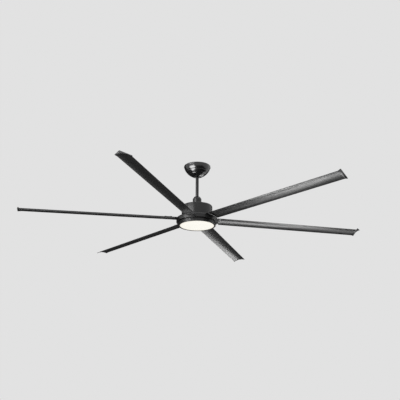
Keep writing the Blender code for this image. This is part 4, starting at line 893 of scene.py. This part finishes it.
def light_rim():
    top = level(LIGHT_HOUSING_TOP_RISE)
    bottom = level(LIGHT_HOUSING_BOTTOM_RISE)
    inner = LIGHT_RADIUS - LIGHT_HOUSING_WALL
    ceiling = top - LIGHT_HOUSING_TOP_THICKNESS
    outline = rounded(
        [
            (SHAFT_HOLE_RADIUS, top, 0),
            (LIGHT_RADIUS, top, LIGHT_HOUSING_ROUNDING),
            (LIGHT_RADIUS, bottom, FINE_EDGE),
            (inner, bottom, 0),
            (inner, ceiling, 0),
            (SHAFT_HOLE_RADIUS, ceiling, 0),
        ]
    )
    return lathe("light_rim", outline)


def light_lip():
    """The lip below the light's rim, with the skirt that holds it in the rim."""
    top = level(LIGHT_HOUSING_BOTTOM_RISE) - SEAM_GAP
    bottom = level(BEZEL_BOTTOM_RISE)
    opening = DIFFUSER_RADIUS + FIT_GAP
    outline = rounded(
        [
            (BEZEL_SKIRT_RADIUS, top + BEZEL_SKIRT_HEIGHT, 0),
            (BEZEL_SKIRT_RADIUS, top, 0),
            (LIGHT_RADIUS, top, FINE_EDGE),
            (LIGHT_RADIUS, bottom + BEZEL_CHAMFER, BEZEL_ROUNDING),
            (LIGHT_RADIUS - BEZEL_CHAMFER, bottom, FINE_EDGE),
            (opening, bottom, FINE_EDGE),
            (opening, bottom + BEZEL_LIP_THICKNESS, 0),
            (BEZEL_INNER_RADIUS, bottom + BEZEL_LIP_THICKNESS, 0),
            (BEZEL_INNER_RADIUS, top + BEZEL_SKIRT_HEIGHT, 0),
        ]
    )
    return lathe("light_lip", outline)


def opal_disc():
    """The opal disc, nearly flush with the lip that carries its flange."""
    flange_bottom = level(BEZEL_BOTTOM_RISE) + BEZEL_LIP_THICKNESS + SEAM_GAP
    flange_top = flange_bottom + DIFFUSER_FLANGE_THICKNESS
    inner = DIFFUSER_RADIUS - DIFFUSER_WALL
    face = level(DIFFUSER_FACE_RISE)
    edge = level(DIFFUSER_EDGE_RISE)
    shoulder = level(DIFFUSER_SHOULDER_RISE)
    outline = rounded(
        [
            (0, face + DIFFUSER_WALL, 0),
            (DIFFUSER_FLAT_RADIUS, edge + DIFFUSER_WALL, 0),
            (inner, shoulder + DIFFUSER_WALL, 0),
            (inner, flange_top, 0),
            (DIFFUSER_FLANGE_RADIUS, flange_top, 0),
            (DIFFUSER_FLANGE_RADIUS, flange_bottom, 0),
            (DIFFUSER_RADIUS, flange_bottom, 0),
            (DIFFUSER_RADIUS, shoulder, FINE_EDGE),
            (DIFFUSER_FLAT_RADIUS, edge, DIFFUSER_EDGE_ROUNDING),
            (0, face, 0),
        ]
    )
    return lathe("opal_disc", outline)


# Shape of a blade, whose own frame has the blade along X, its leading side at positive side
# values and its own height square to the pitched chord


def blade_point(reach, side, height):
    across = side * math.cos(PITCH) - height * math.sin(PITCH)
    up = side * math.sin(PITCH) + height * math.cos(PITCH)
    return Vector((reach, -across, level(BLADE_RISE) + BLADE_DROOP_PER_REACH * reach + up))


def edge_share(side):
    return max(0, 1 - (side / HALF_CHORD) ** 2)


def blade_underside(side):
    return BLADE_CAMBER * edge_share(side)


def blade_depth(side):
    swell = (BLADE_THICKNESS - BLADE_EDGE_THICKNESS) * edge_share(side) ** BLADE_THICKNESS_POWER
    return BLADE_EDGE_THICKNESS + swell


def blade_top(side):
    return blade_underside(side) + blade_depth(side)


def sides_across(half_width, steps=TONGUE_STEPS):
    """Evenly spaced sides across a strip, from its trailing to its leading edge."""
    return [half_width * (2 * i / steps - 1) for i in range(steps + 1)]


def strip_section(reach, sides, lower, upper):
    """Points round a strip at one reach, between a lower and an upper height."""
    below = [blade_point(reach, side, lower(side)) for side in sides]
    return below + [blade_point(reach, side, upper(side)) for side in reversed(sides)]


def strip(name, reaches, half_width, lower, upper, steps=TONGUE_STEPS):
    """A strip along a blade."""
    sides = sides_across(half_width, steps)
    return loft(name, [strip_section(reach, sides, lower, upper) for reach in reaches])


def nose(side, sign):
    """Points round a blade's long edge, from below to above on one side of the chord."""
    radius = BLADE_EDGE_THICKNESS / 2
    turns = [math.pi * (i / BLADE_NOSE_STEPS - 0.5) for i in range(1, BLADE_NOSE_STEPS)]
    middle = blade_underside(side) + radius
    return [(side + sign * radius * math.cos(t), middle + radius * math.sin(t)) for t in turns]


def blade_outline():
    """Outline across a blade as (side, height), with both long edges rounded."""
    half = HALF_CHORD - BLADE_EDGE_THICKNESS / 2
    steps = BLADE_CHORD_STEPS
    sides = [-half * math.cos(math.pi * i / steps) for i in range(steps + 1)]
    below = [(side, blade_underside(side)) for side in sides]
    above = [(side, blade_top(side)) for side in reversed(sides)]
    return below + nose(half, 1) + above + nose(-half, -1)[::-1]


def tongue_lower(side):
    return blade_underside(side) + (blade_depth(side) - ARM_TONGUE_THICKNESS) / 2


def even(rise):
    """Heights that stay the same across the chord."""
    return lambda side: rise


def moved(curve, rise):
    """Heights across the chord, moved up, or down where the rise is negative."""
    return lambda side: curve(side) + rise


block_lower = even(0)
neck_lower = even(ARM_NECK_RISE)
neck_upper = moved(neck_lower, ARM_THICKNESS)
window_lower = moved(neck_lower, -RUNNING_GAP)
window_upper = moved(neck_upper, RUNNING_GAP)
tongue_upper = moved(tongue_lower, ARM_TONGUE_THICKNESS)
pocket_lower = moved(tongue_lower, -SEAM_GAP)
pocket_upper = moved(tongue_upper, SEAM_GAP)
plate_lower = moved(blade_top, SEAM_GAP)
plate_upper = moved(plate_lower, BLADE_PLATE_THICKNESS)


def blade_screw_places():
    """Reach and side of the three screws that hold a blade to its arm."""
    start = BLADE_ROOT_REACH + BLADE_PLATE_START
    near = start + BLADE_SCREW_INSET
    far = start + BLADE_PLATE_LENGTH - BLADE_SCREW_INSET
    return [(near, -BLADE_SCREW_SPREAD), (near, BLADE_SCREW_SPREAD), (far, 0)]


def blade_skin(name):
    ends = (BLADE_ROOT_REACH, BLADE_END_REACH)
    obj = loft(name, [[blade_point(reach, *place) for place in blade_outline()] for reach in ends])
    pocket = ARM_TONGUE_HALF_WIDTH + SEAM_GAP
    root = (BLADE_ROOT_REACH - CUT_MARGIN, BLADE_ROOT_REACH + ARM_TONGUE_LENGTH + SEAM_GAP)
    cut(obj, strip("pocket", root, pocket, pocket_lower, pocket_upper))
    end = (BLADE_END_REACH - FIN_TONGUE_LENGTH - SEAM_GAP, BLADE_END_REACH + CUT_MARGIN)
    cut(obj, strip("pocket", end, pocket, pocket_lower, pocket_upper))
    for reach, side in blade_screw_places():
        low = blade_point(reach, side, tongue_lower(side))
        high = blade_point(reach, side, blade_top(side) + CUT_MARGIN)
        cut(obj, bar("hole", BLADE_SCREW_RADIUS + SEAM_GAP, low, high))
    return obj


def socket_screw(reach, side):
    """A low domed screw with a six-sided socket, set square to the blade."""
    seat = plate_lower(side) + BLADE_PLATE_THICKNESS * BLADE_SCREW_SEAT_SHARE
    base = blade_point(reach, side, seat)
    tip = blade_point(reach, side, tongue_lower(side))
    height = BLADE_SCREW_HEAD_HEIGHT + BLADE_PLATE_THICKNESS * (1 - BLADE_SCREW_SEAT_SHARE)
    obj = lathe("screw", pan_head(BLADE_SCREW_HEAD_RADIUS, height), SCREW_STEPS)
    floor = height - BLADE_SCREW_SOCKET_CUT
    ends = (0, 0, floor), (0, 0, height + CUT_MARGIN)
    cut(obj, bar("socket", BLADE_SCREW_SOCKET_RADIUS, *ends, BLADE_SCREW_SOCKET_SIDES))
    overlap = floor - SEAM_GAP
    join(obj, bar("shank", BLADE_SCREW_RADIUS, (0, 0, -(base - tip).length), (0, 0, overlap)))
    turn = Vector((0, 0, 1)).rotation_difference(base - tip).to_matrix().to_4x4()
    obj.data.transform(Matrix.Translation(base) @ turn)
    return obj


def blade_plate_set(name):
    """The plate on top of a blade root, with its three screws."""
    start = BLADE_ROOT_REACH + BLADE_PLATE_START
    reaches = (start, start + BLADE_PLATE_LENGTH)
    obj = strip(name, reaches, BLADE_PLATE_HALF_WIDTH, plate_lower, plate_upper)
    eased(obj, BLADE_PLATE_THICKNESS / 4)
    for reach, side in blade_screw_places():
        join(obj, socket_screw(reach, side))
    return obj


# Blade arms


def arm_block():
    """The part between the ring and the blade, flat below and shaped like the blade above."""
    reaches = (ARM_BLOCK_START, BLADE_ROOT_REACH - SEAM_GAP)
    obj = strip("block", reaches, HALF_CHORD, block_lower, blade_top, BLADE_CHORD_STEPS)
    low = level(0)
    high = level(DRUM_TOP_RISE)
    cut(obj, bar("round", RING_RADIUS + RUNNING_GAP, (0, 0, low), (0, 0, high), ROUND_STEPS))
    cut(obj, arm_corner_cutter(low, high))
    return eased(obj, FINE_EDGE)


def arm_corner_cutter(low, high):
    """An upright wedge that takes off the trailing corner beside the ring."""
    corners = [
        (ARM_BLOCK_START, ARM_BLOCK_REAR_AT_RING),
        (RING_RADIUS + RUNNING_GAP, ARM_BLOCK_REAR_AT_RING),
        (BLADE_ROOT_REACH, HALF_CHORD),
        (BLADE_ROOT_REACH, BLADE_CHORD),
        (ARM_BLOCK_START, BLADE_CHORD),
    ]
    return loft("wedge", [[(x, y, z) for x, y in corners] for z in (low, high)])


def flat_section(reach, bottom, top):
    """A level section of the arm's foot, with as many points as the pitched ones."""
    sides = sides_across(ARM_HALF_WIDTH)
    below = [Vector((reach, -side, bottom)) for side in sides]
    return below + [Vector((reach, -side, top)) for side in reversed(sides)]


def arm_foot():
    """The level foot under the ring's deck and the neck that twists to the pitch of the blade."""
    top = level(RING_TOP_RISE) - RING_WALL - SEAM_GAP
    bottom = top - ARM_THICKNESS
    sections = [flat_section(reach, bottom, top) for reach in (ARM_FOOT_INNER, ARM_FOOT_OUTER)]
    sides = sides_across(ARM_HALF_WIDTH)
    for reach in (RING_RADIUS - RING_WALL - RUNNING_GAP, RING_RADIUS + RING_WALL):
        sections.append(strip_section(reach, sides, neck_lower, neck_upper))
    return eased(loft("foot", sections), FINE_EDGE)


def arm_body(name):
    obj = arm_foot()
    obj.name = name
    join(obj, arm_block())
    reaches = (ARM_TONGUE_START, BLADE_ROOT_REACH + ARM_TONGUE_LENGTH)
    join(obj, strip("tongue", reaches, ARM_TONGUE_HALF_WIDTH, tongue_lower, tongue_upper))
    for side in (-ARM_BOLT_SPREAD, ARM_BOLT_SPREAD):
        low = (ARM_BOLT_REACH, side, level(RING_BOTTOM_RISE))
        high = (ARM_BOLT_REACH, side, level(RING_TOP_RISE))
        cut(obj, bar("hole", ARM_BOLT_RADIUS + SEAM_GAP, low, high))
    for reach, side in blade_screw_places():
        low = blade_point(reach, side, -CUT_MARGIN)
        high = blade_point(reach, side, blade_top(side) + CUT_MARGIN)
        cut(obj, bar("hole", BLADE_SCREW_RADIUS + SEAM_GAP, low, high))
    return obj


# End fins


def fin_outer_reach(side):
    """How far out the fin's outer face is, nearer the hub towards its trailing corner."""
    share = min(1, (side + FIN_REAR_SIDE) / (FIN_PEAK_SIDE + FIN_REAR_SIDE))
    return FIN_REACH - FIN_SWEEP_BACK * (1 - share)


def fin_inner_reach(side):
    """Where the fin starts: at the blade's end, or further out behind the blade's trailing edge."""
    start = BLADE_END_REACH + SEAM_GAP
    behind = max(0, -side - HALF_CHORD) / (FIN_REAR_SIDE - HALF_CHORD)
    return start + (fin_outer_reach(side) - FIN_REAR_LENGTH - start) * behind


def fin_top(side):
    """The straight upper edge from the trailing corner to the peak, and down to the front."""
    if side <= FIN_PEAK_SIDE:
        share = (side + FIN_REAR_SIDE) / (FIN_PEAK_SIDE + FIN_REAR_SIDE)
        return FIN_REAR_RISE + (FIN_PEAK_RISE - FIN_REAR_RISE) * share
    share = (side - FIN_PEAK_SIDE) / (FIN_FRONT_SIDE - FIN_PEAK_SIDE)
    return FIN_PEAK_RISE + (FIN_FRONT_TOP_RISE - FIN_PEAK_RISE) * share


def fin_bottom(side):
    """The lower edge of the outer face, a little below the blade's underside at the front."""
    share = max(0, side / FIN_FRONT_SIDE)
    return blade_underside(side) - FIN_LIP + (FIN_FRONT_RISE + FIN_LIP) * share


def fin_section(side):
    inner = fin_inner_reach(side)
    outer = fin_outer_reach(side)
    plate = outer - FIN_THICKNESS
    fillet = max(plate - FIN_FILLET_REACH, (inner + plate) / 2)
    top = fin_top(side)
    base = blade_top(side)
    share = FIN_FILLET_SHARE if top > base else (fillet - inner) / (plate - inner)
    return [
        blade_point(inner, side, blade_underside(side) - FIN_LIP / 2),
        blade_point(outer, side, fin_bottom(side)),
        blade_point(outer, side, top),
        blade_point(plate, side, top),
        blade_point(fillet, side, base + (top - base) * share),
        blade_point(inner, side, base),
    ]


def fin_sides():
    """Sides of the fin's sections, from its trailing corner over the peak to its front."""
    rear = FIN_PEAK_SIDE + FIN_REAR_SIDE
    front = FIN_FRONT_SIDE - FIN_PEAK_SIDE
    behind = [rear * i / FIN_REAR_STEPS - FIN_REAR_SIDE for i in range(FIN_REAR_STEPS)]
    steps = FIN_FRONT_STEPS
    return behind + [FIN_PEAK_SIDE + front * i / steps for i in range(steps + 1)]


def end_fin(name):
    obj = eased(loft(name, [fin_section(side) for side in fin_sides()]), FINE_EDGE)
    reaches = (BLADE_END_REACH - FIN_TONGUE_LENGTH, BLADE_END_REACH + FIN_THICKNESS)
    return join(obj, strip("tongue", reaches, ARM_TONGUE_HALF_WIDTH, tongue_lower, tongue_upper))


# Assembly


def dress(piece, material, body, node):
    """Finish a piece, let it ride on its body and stand for its node."""
    piece.data.materials.clear()
    piece.data.materials.append(material)
    smooth(piece)
    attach(piece, body)
    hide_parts(node)


def dress_around(name, build, material, node):
    """Build a piece once, and place a copy with the same mesh at each blade."""
    first = build(f"{name}_1")
    pieces = [first] + [add_object(f"{name}_{i}", first.data) for i in range(2, BLADE_COUNT + 1)]
    for number, (piece, turn) in enumerate(zip(pieces, blade_turns()), 1):
        piece.rotation_euler = (0, 0, turn)
        dress(piece, material, "rotor", f"{node}_{number}")


def paint_nodes(slots):
    """Give each node of the frame that stays in view its slot's finish."""
    for name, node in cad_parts.items():
        made = slots[NODE_SLOTS.get(name, "zinc_steel")]
        for place in node.material_slots:
            place.material = made


def make_slots():
    """The finish of each material slot."""
    return {
        "black_steel": black_paint("black_steel_paint", BLACK_STEEL_TONES, PAINT_ROUGHNESS),
        "black_aluminium": black_paint(
            "black_aluminium_paint", BLACK_ALUMINIUM_TONES, PAINT_ROUGHNESS
        ),
        "black_plastic": moulded("black_moulding", BLACK_PLASTIC_TONES, roughness=0.3, scale=1100),
        "zinc_steel": bare_metal("zinc_plate", ZINC_TONES, roughness=0.34, stretch=(1, 1, 0.2)),
        "magnet_grey": moulded(
            "magnet_ferrite", MAGNET_TONES, roughness=0.6, scale=600, grain=4 * FINE_GRAIN
        ),
        "copper": bare_metal("copper_winding", COPPER_TONES, roughness=0.32, stretch=(1, 1, 6)),
        "white_board": moulded("white_board_mask", BOARD_TONES, roughness=0.38, scale=900),
        "opal_plastic": opal_glow(),
    }


def dress_fan(slots):
    """Build every piece that shows, in the finish of its slot. The canopy's paint is lacquered."""
    steel = slots["black_steel"]
    aluminium = slots["black_aluminium"]
    lacquered = black_paint("black_lacquer", BLACK_STEEL_TONES, LACQUERED_ROUGHNESS, lacquer=1)
    dress(canopy_shell(), lacquered, "mount", "canopy")
    for side, word in ((-1, "left"), (1, "right")):
        screw = canopy_screw(f"canopy_cross_screw_{word}", side)
        dress(screw, steel, "mount", f"canopy_screw_{word}")
    dress(downrod_tube(), steel, "hanger", "downrod")
    dress(coupling_cover_shell(), steel, "hanger", "coupling_cover")
    dress(light_rim(), steel, "hanger", "light_housing")
    dress(light_lip(), slots["black_plastic"], "hanger", "light_bezel")
    dress(opal_disc(), slots["opal_plastic"], "hanger", "light_diffuser")
    dress(drum_shell(), steel, "rotor", "motor_housing")
    dress(ring_casting(), aluminium, "rotor", "blade_ring")
    dress(ring_cover_plate(), steel, "rotor", "ring_cover")
    dress_around("arm_body", arm_body, aluminium, "blade_arm")
    dress_around("blade_skin", blade_skin, aluminium, "blade")
    dress_around("blade_plate_set", blade_plate_set, steel, "blade_plate")
    dress_around("end_fin", end_fin, slots["black_plastic"], "blade_fin")


# Studio


def soft_light(name, place, aim, width, height, radiance):
    """A soft box that shines at a point, out of the camera's sight."""
    data = bpy.data.lights.new(name, "AREA")
    data.shape = "RECTANGLE"
    data.size = width
    data.size_y = height
    data.energy = radiance * math.pi * width * height
    obj = add_object(name, data)
    obj.location = place
    obj.rotation_euler = (Vector(aim) - Vector(place)).to_track_quat("-Z", "Y").to_euler()
    obj.visible_camera = False
    return obj


def sheet(name, corners, material):
    """A flat four-cornered sheet of the studio."""
    mesh = bpy.data.meshes.new(name)
    mesh.from_pydata(corners, [], [(0, 1, 2, 3)])
    mesh.materials.append(material)
    obj = add_object(name, mesh)
    return obj


def dark_cards():
    """Dark cards behind and below the fan, which only its sheen mirrors."""
    dark = stage_material("dark_card", DARK_CARD_TONE)
    side = DARK_CARD_REACH
    right = DARK_CARD_RIGHT_X
    far = DARK_CARD_Y
    low = DARK_CARD_LOW_Z
    high = DARK_CARD_HIGH_Z
    back = [(-side, far, low), (right, far, low), (right, far, high), (-side, far, high)]
    below = [(-side, far, low), (side, far, low), (side, -side, low), (-side, -side, low)]
    for name, corners in (("dark_card_back", back), ("dark_card_low", below)):
        card = sheet(name, corners, dark)
        card.visible_camera = False
        card.visible_diffuse = False
        card.visible_shadow = False


def studio():
    """The floor, the dark cards, the soft lights and the panels for the sheen."""
    reach = FLOOR_HALF_SIZE
    corners = [(-reach, -reach), (reach, -reach), (reach, reach), (-reach, reach)]
    sheet("floor", [(x, y, FLOOR_Z) for x, y in corners], pale_floor())
    dark_cards()
    for light in SOFT_LIGHTS:
        soft_light(*light)
    for panel in SHEEN_PANELS:
        soft_light(*panel).visible_diffuse = False


def studio_world():
    """A pale surround, and a softer level for the light that it throws on the fan."""
    world = bpy.data.worlds.new("studio")
    world.use_nodes = True
    bpy.context.scene.world = world
    background = world.node_tree.nodes["Background"]
    background.inputs["Color"].default_value = (1, 1, 1, 1)
    set_seen_level(world, background.inputs["Strength"], AMBIENT_LEVEL, BACKGROUND_LEVEL)


def photo_camera():
    """The camera from which the photograph was taken, as fitted to the fan's outlines."""
    data = bpy.data.cameras.new("camera")
    data.sensor_width = SENSOR_MM
    data.lens = CAMERA_LENS_MM
    camera = add_object("camera", data)
    pitch = math.radians(CAMERA_PITCH_DEG)
    yaw = math.radians(CAMERA_YAW_DEG)
    level_run = math.cos(pitch)
    ahead = Vector((math.sin(yaw) * level_run, math.cos(yaw) * level_run, math.sin(pitch)))
    right = Vector((math.cos(yaw), -math.sin(yaw), 0))
    turn = Matrix((right, right.cross(ahead), -ahead)).transposed()
    roll = Matrix.Rotation(math.radians(CAMERA_ROLL_DEG), 3, "Z")
    camera.matrix_world = Matrix.Translation(CAMERA_PLACE) @ (turn @ roll).to_4x4()
    bpy.context.scene.camera = camera


bpy.context.scene.view_settings.view_transform = "Standard"
finishes = make_slots()
paint_nodes(finishes)
dress_fan(finishes)
studio()
studio_world()
photo_camera()
